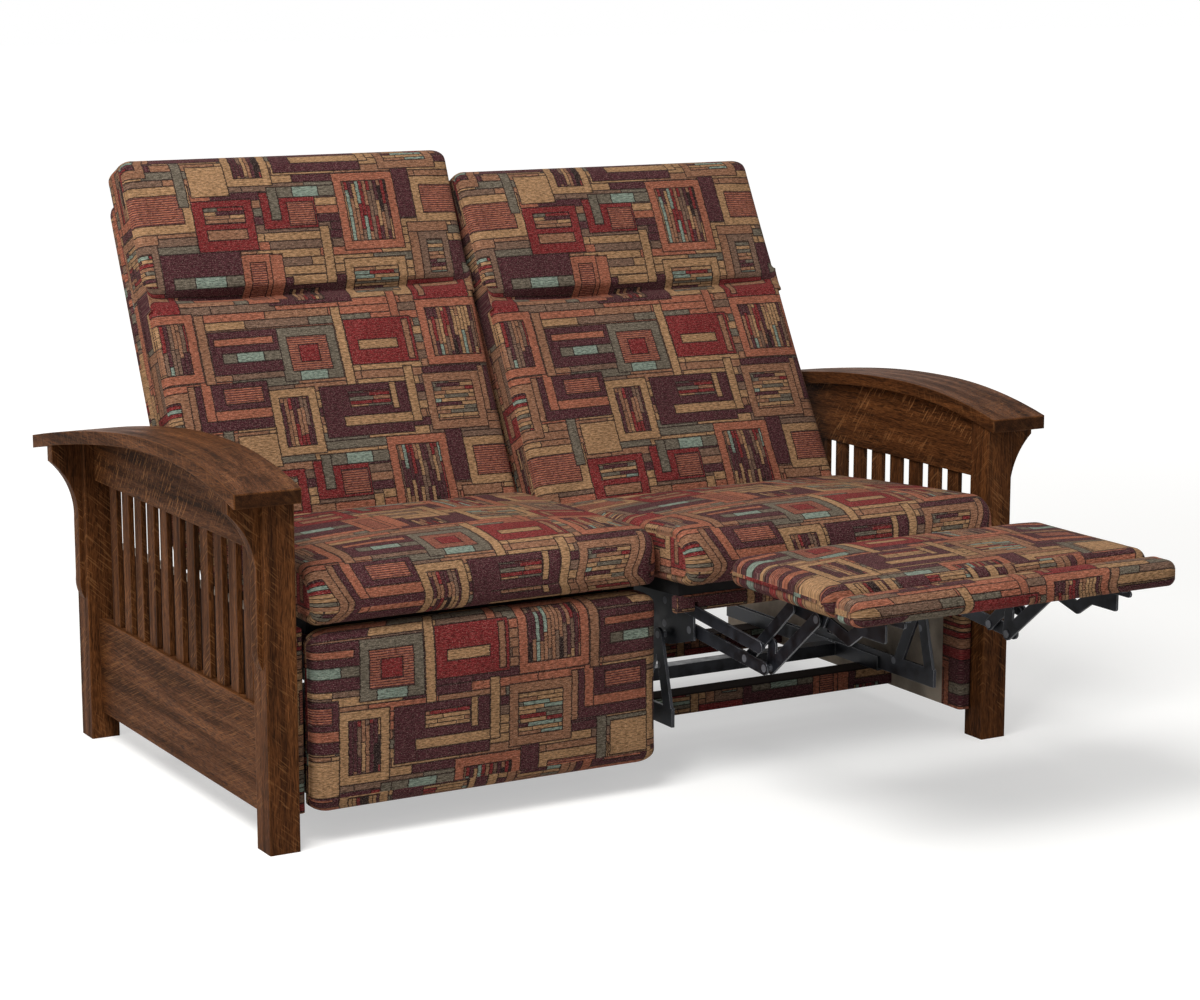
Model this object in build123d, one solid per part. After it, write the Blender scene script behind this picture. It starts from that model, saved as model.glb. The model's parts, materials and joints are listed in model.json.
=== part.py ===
from build123d import *
import os
from math import asin, atan2, cos, degrees, hypot, radians, sin, sqrt

# All sizes are in millimetres and angles in degrees. X runs along the seats, the front faces
# -Y and Z is up. Each seat is drawn closed about its own middle plane, then moved to its rest
# pose: the left seat stays closed and the right seat opens.

# Oak arms
post_side = 55.0
posts_depth = 900.0
edge_chamfer = 1.5
rail_inset = 21.0
rail_thickness = 20.0
bottom_rail_low = 52.0
bottom_rail_high = 233.0
top_rail_low = 499.0
slat_count = 11
slat_width = 33.5
slat_thickness = 10.0
slat_pitch = 63.0
arm_thickness = 24.0
arm_over_inside = 5.0
arm_over_outside = 59.0
arm_over_front = 20.5
arm_over_rear = 59.0
arm_apex_y = -175.0
arm_apex_z = 655.0
arm_front_radius = 1202.0
arm_mid_radius = 2366.0
arm_mid_run = 265.0
arm_rear_radius = 5150.0
corbel_thickness = 25.0
corbel_length = 280.0
corbel_reach = 56.0
corbel_strip = 8.5
corbel_lip = 14.0
corbel_sweep = 116.0
corbel_sweep_bow = 11.0
corbel_toe = 42.0
corbel_toe_bow = 2.2

# Base between the arms
panel_thickness = 27.0
panel_low = 54.0
panel_high = 370.0
panel_front_inset = 35.0
panel_rear_inset = 40.0
panel_round = 9.0
stretcher_low = 57.0
stretcher_high = 96.0
stretcher_depth = 52.0
front_stretcher_y = -166.0
rear_stretcher_y = 226.0
stretcher_round = 4.0
track_front_y = -220.0
track_rear_y = 330.0
track_base = 3.5
track_wall = 3.0
track_high = 124.0
track_side_gap = 0.6
track_floor_gap = 0.6
cross_bar_y = -60.0
cross_bar_depth = 30.0
cross_bar_height = 25.0

# One seat
seat_half = 336.0
seat_gap = 8.0
seat_side_gap = 2.0
glide_travel = 86.0
tilt_travel = 3.0
tilt_pivot_y = -262.0
tilt_pivot_z = 262.0
upper_link_pivot_y = -345.0
upper_link_pivot_z = 281.0
thigh_length = 235.0
shank_shorter = 59.0
open_reach_share = 0.9272
open_reach_angle = 166.23
shank_ear_y = 4.0
shank_ear_z = 40.0
board_pivot_y = -352.0
board_pivot_z = 207.0
board_stay_pivot_y = -360.0
board_stay_pivot_z = 274.0
stay_root_from_elbow = 60.0
face_y = -446.0
face_low = 62.0
face_high = 362.0
open_turn = 90.0
flip_turn = 180.0
drive_closed_angle = 5.0
drive_open_angle = -165.0
drive_bend = -49.0
drive_first = 78.0
drive_second = 44.0
drive_plate_length = 80.0
drive_plate_height = 34.0
drive_plate_corner = 5.0
back_lean = 25.0
back_foot_y = 54.3
back_foot_z = 400.0
back_pivot_y = 150.0
back_pivot_z = 345.0
back_range = 26.0
back_open_extra = 1.5

# Steel links
link_thickness = 4.0
lane_gap = 3.0
plate_inset = 63.0
link_width = 24.0
stay_width = 22.0
strut_width = 26.0
strut_thickness = 6.0
pin_radius = 4.0
pin_clearance = 0.1
hinge_pin_radius = 3.0
slot_clearance = 1.0
head_radius = 7.0
head_thickness = 1.6
head_gap = 0.4
bracket_reach = 13.0
knuckle_radius = 5.8
flip_plate_length = 72.0
plate_margin = 17.0
plate_high = 352.0
slider_low = 100.1
slider_high = 135.0
slider_front_y = -313.0
slider_rear_y = 100.0
front_strut_y = -300.0
middle_strut_y = -190.0
rear_guide_y = 60.0
rear_guide_z = 262.0
guide_pin_rise = 6.0
cross_tube_radius = 10.0
front_tube_y = -236.0
front_tube_z = 328.0
rear_tube_y = 96.0
rear_tube_z = 296.0

# Seat wood and soft pieces
rail_front_y = -382.0
rail_depth = 18.0
rail_low = 321.0
rail_high = 351.5
seat_rail_inset = 14.0
rail_round = 5.0
rail_notch_side = 2.0
rail_notch_high = 338.0
deck_front_y = -380.0
deck_rear_y = 72.0
deck_thickness = 24.0
deck_inset = 18.0
soft_gap = 0.3
cushion_high = 478.0
cushion_crown = 17.0
cushion_over_face = 4.0
cushion_rear_low_y = 36.0
cushion_rear_high_y = 74.0
cushion_rear_high = 466.0
cushion_low_round = 22.0
cushion_front_round = 46.0
pad_thickness = 48.0
pad_round = 20.0
pad_crown = 7.0
board_thickness = 8.0
board_inset = 10.0
board_side_inset = 14.0
fold_gap = 13.0
flip_board_thickness = 7.0
flip_pad_thickness = 38.5
flip_length = 82.0
flip_start = 2.0
flip_pad_round = 15.0
flip_crown = 4.0
flip_board_inset = 6.0
hinge_below_face = 1.0
back_thickness = 92.0
back_high = 776.0
back_top_round = 34.0
back_low_round = 30.0
back_rear_round = 22.0
fold_height = 496.0
fold_depth = 22.0
fold_half = 20.0
lumbar_crown = 13.0
head_crown = 9.0
cover_gap = 0.4
cover_thickness = 33.0
cover_low = 24.0
cover_high = 726.0
cover_inset = 5.0
cover_round = 12.0
stile_width = 26.0
stile_high = 170.0
draw_in_end = 15.0
draw_in_turn = 5.0
draw_edge_share = 0.055
soft_bow_share = 0.2929

crown_start = 1.0

tilt_pivot = (tilt_pivot_y, tilt_pivot_z)
upper_link_pivot = (upper_link_pivot_y, upper_link_pivot_z)
shank_ear = (shank_ear_y, shank_ear_z)
board_pivot = (board_pivot_y, board_pivot_z)
board_stay_pivot = (board_stay_pivot_y, board_stay_pivot_z)
back_foot = (back_foot_y, back_foot_z)
back_pivot = (back_pivot_y, back_pivot_z)
front_tube = (front_tube_y, front_tube_z)
rear_tube = (rear_tube_y, rear_tube_z)
lane_step = link_thickness + lane_gap
plate_lane = seat_half - plate_inset
seat_centre_x = seat_gap / 2 + seat_half
seat_rail_half = seat_half - seat_rail_inset
deck_half = seat_half - deck_inset
board_half = seat_half - board_side_inset
cover_half = seat_half - cover_inset
cushion_low = plate_high + deck_thickness + soft_gap
cushion_front_y = face_y - cushion_over_face
half_width = seat_centre_x + seat_half + seat_side_gap + panel_thickness + post_side
half_depth = posts_depth / 2
left_side = -1
right_side = 1


def turned(vector, angle):
    """Turn a (y, z) vector the way that opens the seat, from +Z towards +Y."""
    y, z = vector
    c = cos(radians(angle))
    s = sin(radians(angle))
    return (y * c + z * s, z * c - y * s)


def plus(a, b):
    return (a[0] + b[0], a[1] + b[1])


def minus(a, b):
    return (a[0] - b[0], a[1] - b[1])


def scaled(a, factor):
    return (a[0] * factor, a[1] * factor)


def length(a):
    return hypot(a[0], a[1])


def unit(a):
    return scaled(a, 1 / length(a))


def angle_of(a):
    return degrees(atan2(a[1], a[0]))


def elbow_of(root, tip, first, second, side):
    """Meeting point of two links of given lengths, on one side of the line root to tip."""
    span = minus(tip, root)
    reach = length(span)
    along = (first ** 2 - second ** 2 + reach ** 2) / (2 * reach)
    across = sqrt(first ** 2 - along ** 2)
    ahead = unit(span)
    normal = (-ahead[1], ahead[0])
    return plus(root, plus(scaled(ahead, along), scaled(normal, side * across)))


def shared_centre(a, b, near):
    """Point equally far from a and b that lies closest to a wanted place."""
    middle = scaled(plus(a, b), 1 / 2)
    ahead = unit(minus(b, a))
    normal = (-ahead[1], ahead[0])
    offset = minus(near, middle)
    along = offset[0] * normal[0] + offset[1] * normal[1]
    return plus(middle, scaled(normal, along))


# Linkage: closed places come from the folded seat, open places from the raised footrest.
thigh_root = upper_link_pivot
shank_length = thigh_length - shank_shorter
elbow = elbow_of(thigh_root, board_pivot, thigh_length, shank_length, 1)
glide_vector = (-glide_travel, 0)
tilt_open = plus(tilt_pivot, glide_vector)
thigh_root_open = plus(tilt_open, turned(minus(thigh_root, tilt_pivot), tilt_travel))
open_reach = (thigh_length + shank_length) * open_reach_share
board_pivot_open = plus(thigh_root_open, (open_reach * cos(radians(open_reach_angle)),
                                          open_reach * sin(radians(open_reach_angle))))
elbow_open = elbow_of(thigh_root_open, board_pivot_open, thigh_length, shank_length, 1)
if elbow_open[1] > board_pivot_open[1]:
    elbow_open = elbow_of(thigh_root_open, board_pivot_open, thigh_length, shank_length, -1)
thigh_turn = angle_of(minus(elbow, thigh_root)) - angle_of(minus(elbow_open, thigh_root_open))
shank_turn = (angle_of(minus(board_pivot, elbow))
              - angle_of(minus(board_pivot_open, elbow_open)))


def to_seat(point):
    """Open place seen from the seat frame, drawn as if the seat were closed."""
    return plus(tilt_pivot, turned(minus(point, tilt_open), -tilt_travel))


ear = plus(elbow, shank_ear)
ear_open = plus(elbow_open, turned(shank_ear, shank_turn))
lift_root = shared_centre(ear, to_seat(ear_open), plus(thigh_root, shank_ear))
lift_root_open = plus(tilt_open, turned(minus(lift_root, tilt_pivot), tilt_travel))
lift_turn = (angle_of(minus(ear, lift_root)) - angle_of(minus(ear_open, lift_root_open)))
stay_tip_open = plus(board_pivot_open, turned(minus(board_stay_pivot, board_pivot), open_turn))
stay_tip_seen = plus(elbow, turned(minus(stay_tip_open, elbow_open), -thigh_turn))
stay_near = plus(elbow, scaled(minus(thigh_root, elbow), stay_root_from_elbow / thigh_length))
stay_root = shared_centre(board_stay_pivot, stay_tip_seen, stay_near)
stay_root_open = plus(elbow_open, turned(minus(stay_root, elbow), thigh_turn))
stay_turn = (angle_of(minus(board_stay_pivot, stay_root))
             - angle_of(minus(stay_tip_open, stay_root_open)))
board_back_y = face_y + pad_thickness + board_thickness
flip_pivot = (board_back_y + fold_gap / 2, face_low - hinge_below_face)
drive_turn = drive_closed_angle - drive_open_angle

# Lanes, from the middle of the seat outwards
lift_lane = plate_lane + lane_step
strut_lane = lift_lane + lane_step
thigh_lane = plate_lane - lane_step
stay_lane = thigh_lane - lane_step
shank_lane = stay_lane - lane_step
bracket_lane = shank_lane - lane_step
drive_lane = bracket_lane - lane_step
flip_lane = drive_lane - lane_step


def place(point):
    return Pos(0, point[0], point[1])


def turn_about(point, angle):
    return place(point) * Rot(-angle, 0, 0) * place(scaled(point, -1))


# Rest pose of every body of one seat, for opening = 0 (closed) or 1 (open)
def poses(opening):
    slide = place(scaled(glide_vector, opening))
    seat = slide * turn_about(tilt_pivot, tilt_travel * opening)
    thigh = seat * turn_about(thigh_root, (thigh_turn - tilt_travel) * opening)
    shank = thigh * turn_about(elbow, (shank_turn - thigh_turn) * opening)
    board = shank * turn_about(board_pivot, (open_turn - shank_turn) * opening)
    return {
        "slide": slide,
        "seat": seat,
        "back": seat * turn_about(back_pivot, back_open_extra * opening),
        "thigh": thigh,
        "lift": seat * turn_about(lift_root, (lift_turn - tilt_travel) * opening),
        "shank": shank,
        "stay": thigh * turn_about(stay_root, (stay_turn - thigh_turn) * opening),
        "board": board,
        "flip": board * turn_about(flip_pivot, flip_turn * opening),
        "drive": shank * turn_about(board_pivot, (drive_turn - shank_turn) * opening),
    }


def path_face(path, at):
    """Flat face from a path; a step of two points is an arc through the first."""
    edges = []
    here = at(path[0])
    for step in path[1:]:
        end = at(step[-1]) if isinstance(step[0], tuple) else at(step)
        if isinstance(step[0], tuple):
            edges.append(Edge.make_three_point_arc(here, at(step[0]), end))
        else:
            edges.append(Edge.make_line(here, end))
        here = end
    return Face(Wire(edges))


def across_x(path, x_low, x_high):
    face = path_face(path, lambda p: Vector(x_low, p[0], p[1]))
    return extrude(face, amount=x_high - x_low, dir=(1, 0, 0))


def along_y(path, y_low, y_high):
    face = path_face(path, lambda p: Vector(p[0], y_low, p[1]))
    return extrude(face, amount=y_high - y_low, dir=(0, 1, 0))


def block(x_span, y_span, z_span):
    size = [abs(high - low) for low, high in (x_span, y_span, z_span)]
    middle = [(low + high) / 2 for low, high in (x_span, y_span, z_span)]
    return Pos(*middle) * Box(*size)


def shaft(point, radius, x_low, x_high):
    turn = Rot(0, 90, 0)
    return Pos((x_low + x_high) / 2, point[0], point[1]) * turn * Cylinder(radius, x_high - x_low)


def round_loop(points, radii):
    """Closed path with each corner rounded by its radius; a radius of 0 leaves it sharp."""
    path = []
    for index, corner in enumerate(points):
        radius = radii[index]
        if radius == 0:
            path.append(corner)
            continue
        unit_in = unit(minus(points[index - 1], corner))
        unit_out = unit(minus(points[(index + 1) % len(points)], corner))
        sine = sqrt((1 - unit_in[0] * unit_out[0] - unit_in[1] * unit_out[1]) / 2)
        run = radius * sqrt(1 - sine ** 2) / sine
        inward = scaled(unit(plus(unit_in, unit_out)), radius / sine - radius)
        path.append(plus(corner, scaled(unit_in, run)))
        path.append((plus(corner, inward), plus(corner, scaled(unit_out, run))))
    path.append(path[0])
    return path


def capsule(start, end, width):
    """Path of a bar with round ends, centred on two pivots."""
    ahead = unit(minus(end, start))
    side = scaled((-ahead[1], ahead[0]), width / 2)
    nose = scaled(ahead, width / 2)
    return [
        plus(start, side),
        (minus(start, nose), minus(start, side)),
        minus(end, side),
        (plus(end, nose), plus(end, side)),
        plus(start, side),
    ]


def bar(start, end, width, lane, holes, thickness=link_thickness):
    solid = across_x(capsule(start, end, width), lane, lane + thickness)
    for hole in holes:
        solid -= shaft(hole, pin_radius + pin_clearance, lane - thickness, lane + 2 * thickness)
    return solid


def rivet(point, lane_from, lane_to, thickness=link_thickness):
    """Pin fused to the link in lane_from, with its head past the link in lane_to."""
    if lane_to < lane_from:
        low = lane_to - head_gap
        high = lane_from + thickness / 2
        head = shaft(point, head_radius, low - head_thickness, low)
        return shaft(point, pin_radius, low - head_gap, high) + head
    low = lane_from + thickness / 2
    high = lane_to + thickness + head_gap
    head = shaft(point, head_radius, high, high + head_thickness)
    return shaft(point, pin_radius, low, high + head_gap) + head


def both_sides(shape):
    return [shape.solid(), mirror(shape, Plane.YZ).solid()]


# Arms
def arm_points(depth):
    """Bow of the arm at a depth below its top: three tangent arcs from front to rear."""
    y_front = -half_depth - arm_over_front
    y_rear = half_depth + arm_over_rear
    apex = (arm_apex_y, arm_apex_z)
    front_centre = (apex[0], apex[1] - arm_front_radius)
    mid_centre = (apex[0], apex[1] - arm_mid_radius)
    bend = asin(arm_mid_run / arm_mid_radius)
    outward = (sin(bend), cos(bend))
    rear_centre = plus(mid_centre, scaled(outward, arm_mid_radius - arm_rear_radius))

    def on_arc(centre, radius, y):
        r = radius - depth
        return (y, centre[1] + sqrt(r ** 2 - (y - centre[0]) ** 2))

    joint_y = mid_centre[0] + (arm_mid_radius - depth) * outward[0]
    return [
        on_arc(front_centre, arm_front_radius, y_front),
        on_arc(front_centre, arm_front_radius, (y_front + apex[0]) / 2),
        on_arc(front_centre, arm_front_radius, apex[0]),
        on_arc(mid_centre, arm_mid_radius, (apex[0] + joint_y) / 2),
        on_arc(mid_centre, arm_mid_radius, joint_y),
        on_arc(rear_centre, arm_rear_radius, (joint_y + y_rear) / 2),
        on_arc(rear_centre, arm_rear_radius, y_rear),
    ]


def arm_edge(points):
    return [points[0], (points[1], points[2]), (points[3], points[4]), (points[5], points[6])]


def arm_board(side):
    top = arm_points(0)
    low = arm_points(arm_thickness)
    path = arm_edge(top) + arm_edge(low[::-1]) + [top[0]]
    inside = half_width - post_side - arm_over_inside
    outside = half_width + arm_over_outside
    spans = sorted([side * inside, side * outside])
    solid = across_x(path, spans[0], spans[1])
    ends = solid.faces().sort_by(Axis.Y)
    return chamfer(ends[0].edges() + ends[-1].edges(), edge_chamfer)


def above_arm():
    low = arm_points(arm_thickness)
    front_top = (low[0][0], 2 * arm_apex_z)
    rear_top = (low[-1][0], 2 * arm_apex_z)
    path = arm_edge(low) + [rear_top, front_top, low[0]]
    reach = half_width + 2 * arm_over_outside
    return across_x(path, -reach, reach)


def post(side, end, over):
    x = sorted([side * half_width, side * (half_width - post_side)])
    y = sorted([end * half_depth, end * (half_depth - post_side)])
    solid = block(x, y, (0, arm_apex_z))
    solid = chamfer(solid.edges().filter_by(Axis.Z), edge_chamfer)
    return solid - over


def rail_span(side):
    outer = half_width - rail_inset
    return sorted([side * outer, side * (outer - rail_thickness)])


def bottom_rail(side):
    y = half_depth - post_side
    return block(rail_span(side), (-y, y), (bottom_rail_low, bottom_rail_high))


def top_rail(side, over):
    y = half_depth - post_side
    return block(rail_span(side), (-y, y), (top_rail_low, arm_apex_z)) - over


def slats(side):
    x_low, x_high = rail_span(side)
    middle = (x_low + x_high) / 2
    x = (middle - slat_thickness / 2, middle + slat_thickness / 2)
    made = []
    for index in range(slat_count):
        y = (index - (slat_count - 1) / 2) * slat_pitch
        span = (y - slat_width / 2, y + slat_width / 2)
        made.append(block(x, span, (bottom_rail_high, top_rail_low)).solid())
    return made


def corbel(side, end, over):
    """Curved bracket on the outer face of a post, drawn hanging from the arm."""
    y_mid = end * (half_depth - post_side / 2)
    under = min(arm_points(arm_thickness), key=lambda p: abs(p[0] - y_mid))[1]
    face = half_width
    strip = face + corbel_strip
    tip = face + corbel_reach
    lip_z = under - corbel_lip
    sweep_z = lip_z - corbel_sweep
    toe_z = under - corbel_length
    sweep_mid = ((tip + strip) / 2 - corbel_sweep_bow, (lip_z + sweep_z) / 2 + corbel_sweep_bow)
    toe_mid = ((face + strip) / 2 + corbel_toe_bow, toe_z + corbel_toe * (1 - soft_bow_share) / 2)
    path = [
        (face, arm_apex_z),
        (tip, arm_apex_z),
        (tip, lip_z),
        (sweep_mid, (strip, sweep_z)),
        (strip, toe_z + corbel_toe),
        (toe_mid, (face, toe_z)),
        (face, arm_apex_z),
    ]
    path = [tuple((side * q[0], q[1]) for q in p) if isinstance(p[0], tuple)
            else (side * p[0], p[1]) for p in path]
    solid = along_y(path, y_mid - corbel_thickness / 2, y_mid + corbel_thickness / 2)
    return solid - over


# Base
def side_panel(side):
    outer = half_width - post_side
    x = sorted([side * outer, side * (outer - panel_thickness)])
    y = (panel_front_inset - half_depth, half_depth - panel_rear_inset)
    solid = block(x, y, (panel_low, panel_high))
    front = solid.faces().sort_by(Axis.Y)[0]
    return fillet(front.edges().filter_by(Axis.Z), panel_round)


def stretcher(y_mid):
    reach = half_width - post_side - panel_thickness
    y = (y_mid - stretcher_depth / 2, y_mid + stretcher_depth / 2)
    solid = block((-reach, reach), y, (stretcher_low, stretcher_high))
    return fillet(solid.edges().filter_by(Axis.X), stretcher_round)


def track(centre, side):
    inner = strut_lane - track_side_gap - track_wall
    outer = strut_lane + strut_thickness + track_side_gap + track_wall
    y = (track_front_y, track_rear_y)
    x = sorted([centre + side * inner, centre + side * outer])
    whole = block(x, y, (stretcher_high, track_high))
    groove = sorted([centre + side * (inner + track_wall), centre + side * (outer - track_wall)])
    return whole - block(groove, y, (stretcher_high + track_base, track_high))


def base_frame():
    made = []
    for centre in (-seat_centre_x, seat_centre_x):
        for side in (left_side, right_side):
            made.append(track(centre, side).solid())
        reach = strut_lane - track_side_gap - track_wall
        y = (cross_bar_y - cross_bar_depth / 2, cross_bar_y + cross_bar_depth / 2)
        z = (stretcher_high, stretcher_high + cross_bar_height)
        made.append(block((centre - reach, centre + reach), y, z).solid())
    return made


# Steel of one seat, drawn closed on the +X side and mirrored
def slide_frame():
    x = (strut_lane, strut_lane + strut_thickness)
    solid = block(x, (slider_front_y, slider_rear_y), (slider_low, slider_high))
    foot_z = slider_low + strut_width / 2 + link_thickness
    for y in (front_strut_y, middle_strut_y):
        solid += across_x(capsule((y, foot_z), tilt_pivot, strut_width), *x)
    drop = guide_drop()
    guide_top = (rear_guide_y, rear_guide_z + guide_pin_rise)
    solid += across_x(capsule((rear_guide_y, foot_z), guide_top, strut_width + lane_gap), *x)
    slot = capsule((rear_guide_y, rear_guide_z - drop), (rear_guide_y, rear_guide_z),
                   2 * (pin_radius + slot_clearance))
    solid -= across_x(slot, strut_lane - strut_thickness, strut_lane + 2 * strut_thickness)
    solid += rivet(tilt_pivot, strut_lane, plate_lane, strut_thickness)
    return both_sides(solid)


def guide_drop():
    arm = minus((rear_guide_y, rear_guide_z), tilt_pivot)
    return arm[1] - turned(arm, tilt_travel)[1]


def seat_plate():
    """Side plate with the pins for the links, the back and the rear guide."""
    front = thigh_root[0] - plate_margin
    low = tilt_pivot[1] - plate_margin
    pin = (rear_guide_y, rear_guide_z)
    points = [
        (front, thigh_root[1] - plate_margin),
        (front, plate_high),
        (back_pivot[0] - plate_margin, plate_high),
        (back_pivot[0] - plate_margin / 2, back_pivot[1] + plate_margin),
        (back_pivot[0] + plate_margin, back_pivot[1] + plate_margin / 2),
        (back_pivot[0] + plate_margin, back_pivot[1] - plate_margin),
        (pin[0] + plate_margin, pin[1] - plate_margin),
        (tilt_pivot[0] - plate_margin, low),
    ]
    solid = across_x(round_loop(points, [edge_chamfer] * len(points)),
                     plate_lane, plate_lane + link_thickness)
    solid -= shaft(tilt_pivot, pin_radius + pin_clearance, stay_lane, strut_lane)
    solid += rivet(thigh_root, plate_lane, thigh_lane)
    solid += rivet(lift_root, plate_lane, lift_lane)
    solid += rivet(back_pivot, plate_lane, lift_lane)
    guide = strut_lane + strut_thickness
    solid += shaft(pin, pin_radius, plate_lane + link_thickness / 2, guide)
    return solid


def seat_frame():
    """Both plates of a seat with the two tubes welded between them."""
    plate = seat_plate()
    solid = plate + mirror(plate, Plane.YZ)
    for point in (front_tube, rear_tube):
        solid += shaft(point, cross_tube_radius, -plate_lane, plate_lane)
    return solid


def thigh_links():
    solid = bar(thigh_root, elbow, link_width, thigh_lane, [thigh_root])
    solid += rivet(elbow, thigh_lane, shank_lane)
    solid += rivet(stay_root, thigh_lane, stay_lane)
    return both_sides(solid)


def lift_links():
    solid = bar(lift_root, ear, stay_width, lift_lane, [lift_root])
    solid += rivet(ear, lift_lane - link_thickness / 2, lift_lane - link_thickness)
    return both_sides(solid)


def shank_links():
    solid = bar(elbow, board_pivot, link_width, shank_lane, [])
    solid += across_x(capsule(elbow, ear, link_width), shank_lane, shank_lane + link_thickness)
    solid -= shaft(elbow, pin_radius + pin_clearance, bracket_lane, stay_lane)
    solid += rivet(board_pivot, shank_lane, drive_lane)
    return both_sides(solid)


def stay_links():
    return both_sides(bar(stay_root, board_stay_pivot, stay_width, stay_lane, [stay_root]))


def footrest_brackets():
    """Plates behind the footrest board, with the knuckle of the folding pad's hinge."""
    back = board_back_y
    slim = flip_pivot[0] + knuckle_radius
    waist = flip_pivot[1] + flip_start + flip_length + 2 * bracket_reach
    points = [
        (back, flip_pivot[1] + bracket_reach),
        (back, board_stay_pivot[1] + bracket_reach),
        (board_stay_pivot[0] + bracket_reach, board_stay_pivot[1] + bracket_reach),
        (board_pivot[0] + bracket_reach, board_pivot[1] + bracket_reach),
        (board_pivot[0] + bracket_reach, board_pivot[1] - bracket_reach),
        (slim, waist),
        (slim, flip_pivot[1] + bracket_reach),
    ]
    solid = across_x(points + [points[0]], bracket_lane, bracket_lane + link_thickness)
    tail = capsule(flip_pivot, (flip_pivot[0], waist), 2 * knuckle_radius)
    solid += across_x(tail, bracket_lane, bracket_lane + link_thickness)
    solid -= shaft(board_pivot, pin_radius + pin_clearance, drive_lane, stay_lane)
    solid += shaft(flip_pivot, hinge_pin_radius, flip_lane, bracket_lane + link_thickness / 2)
    return both_sides(solid)


def flip_brackets():
    tip = plus(flip_pivot, (0, flip_plate_length))
    path = capsule(flip_pivot, tip, 2 * knuckle_radius)
    solid = across_x(path, flip_lane, flip_lane + link_thickness)
    x = (flip_lane - bracket_reach, flip_lane)
    flange_y = (flip_pivot[0] + knuckle_radius - link_thickness / 2, flip_board_front_y())
    z = (flip_pivot[1] + bracket_reach, tip[1])
    solid += block(x, flange_y, z)
    solid += block((flip_lane, flip_lane + link_thickness), flange_y, z)
    hole = hinge_pin_radius + pin_clearance
    solid -= shaft(flip_pivot, hole, flip_lane - link_thickness, drive_lane)
    return both_sides(solid)


def drive_links():
    """Bent link beside the footrest bracket that carries the folding pad's plate."""
    first = (cos(radians(drive_closed_angle)), sin(radians(drive_closed_angle)))
    bend = plus(board_pivot, scaled(first, drive_first))
    second_angle = radians(drive_closed_angle + drive_bend)
    second = (cos(second_angle), sin(second_angle))
    tip = plus(bend, scaled(second, drive_second))
    solid = bar(board_pivot, bend, stay_width, drive_lane, [board_pivot])
    x = (drive_lane, drive_lane + link_thickness)
    solid += across_x(capsule(bend, tip, stay_width), *x)
    level = turned((1, 0), -drive_turn)
    up = turned((0, 1), -drive_turn)
    start = minus(tip, scaled(level, -stay_width / 2))
    corners = []
    for along, rise in ((0, 0), (drive_plate_length, 0), (drive_plate_length, 1), (0, 1)):
        forward = scaled(level, -along)
        lift = scaled(up, rise * drive_plate_height - drive_plate_height / 3)
        corners.append(plus(start, plus(forward, lift)))
    solid += across_x(round_loop(corners, [drive_plate_corner] * len(corners)), *x)
    solid -= shaft(board_pivot, pin_radius + pin_clearance, flip_lane, bracket_lane)
    return both_sides(solid)


# Wood and soft pieces of one seat
def front_rail():
    """Covered rail under the cushion, notched where the lift links swing through."""
    y = (rail_front_y, rail_front_y + rail_depth)
    solid = block((-seat_rail_half, seat_rail_half), y, (rail_low, rail_high))
    solid = fillet(solid.edges().filter_by(Axis.X), rail_round)
    inner = lift_lane - rail_notch_side
    outer = lift_lane + link_thickness + rail_notch_side
    for side in (left_side, right_side):
        x = sorted([side * inner, side * outer])
        solid -= block(x, y, (rail_low, rail_notch_high))
    return solid


def seat_deck():
    z = (plate_high, plate_high + deck_thickness)
    return block((-deck_half, deck_half), (deck_front_y, deck_rear_y), z)


def pillow(profile, half):
    """Crowned loft across the seat between two short ends that draw in to the side seams."""
    def section(x, inset, crown):
        return path_face(profile(inset, crown), lambda p: Vector(x, p[0], p[1]))

    full = half * (1 - draw_edge_share)
    turn = half * (1 - draw_edge_share / 3)
    solid = loft([section(-full, 0, 0), section(0, 0, 1), section(full, 0, 0)])
    for side in (left_side, right_side):
        ends = [section(side * full, 0, 0), section(side * turn, draw_in_turn, 0),
                section(side * half, draw_in_end, 0)]
        solid += loft(ends[::side], ruled=True)
    return solid


def seat_profile(inset, crown):
    front = cushion_front_y + inset
    low = cushion_low + inset / 2
    high = cushion_high - inset
    rear_low = (cushion_rear_low_y - inset, low)
    rear_high = (cushion_rear_high_y - inset, cushion_rear_high - inset)
    r = cushion_low_round
    big = cushion_front_round
    front_top = (front + big, high)
    top_mid = ((front_top[0] + rear_high[0]) / 2, high + cushion_crown * crown + inset / 4 + crown_start)
    return [
        rear_low,
        (front + r, low),
        ((front + r * soft_bow_share, low + r * soft_bow_share), (front, low + r)),
        (front, high - big),
        ((front + big * soft_bow_share, high - big * soft_bow_share), front_top),
        (top_mid, rear_high),
        rear_low,
    ]


def pad_profile(y_front, y_back, z_low, z_high, r, bulge):
    def profile(inset, crown):
        front = y_front + inset / 2
        low = z_low + inset / 2
        high = z_high - inset / 2
        mid = (front - bulge * crown - crown_start, (low + high) / 2)
        return [
            (y_back, low + r / 2),
            (y_back, high - r / 2),
            ((y_back - r * soft_bow_share / 2, high - r * soft_bow_share / 2), (y_back - r / 2, high)),
            (front + r, high),
            ((front + r * soft_bow_share, high - r * soft_bow_share), (front, high - r)),
            (mid, (front, low + r)),
            ((front + r * soft_bow_share, low + r * soft_bow_share), (front + r, low)),
            (y_back - r / 2, low),
            ((y_back - r * soft_bow_share / 2, low + r * soft_bow_share / 2), (y_back, low + r / 2)),
        ]
    return profile


def footrest_pad():
    back = face_y + pad_thickness
    return pillow(pad_profile(face_y + pad_crown, back, face_low, face_high, pad_round, pad_crown),
                  seat_half)


def footrest_board():
    y = (face_y + pad_thickness, board_back_y)
    return block((-board_half, board_half), y, (face_low + board_inset, face_high - board_inset))


def flip_board_front_y():
    return board_back_y + fold_gap


def flip_span():
    low = flip_pivot[1] + flip_start
    return (low, low + flip_length)


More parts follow.
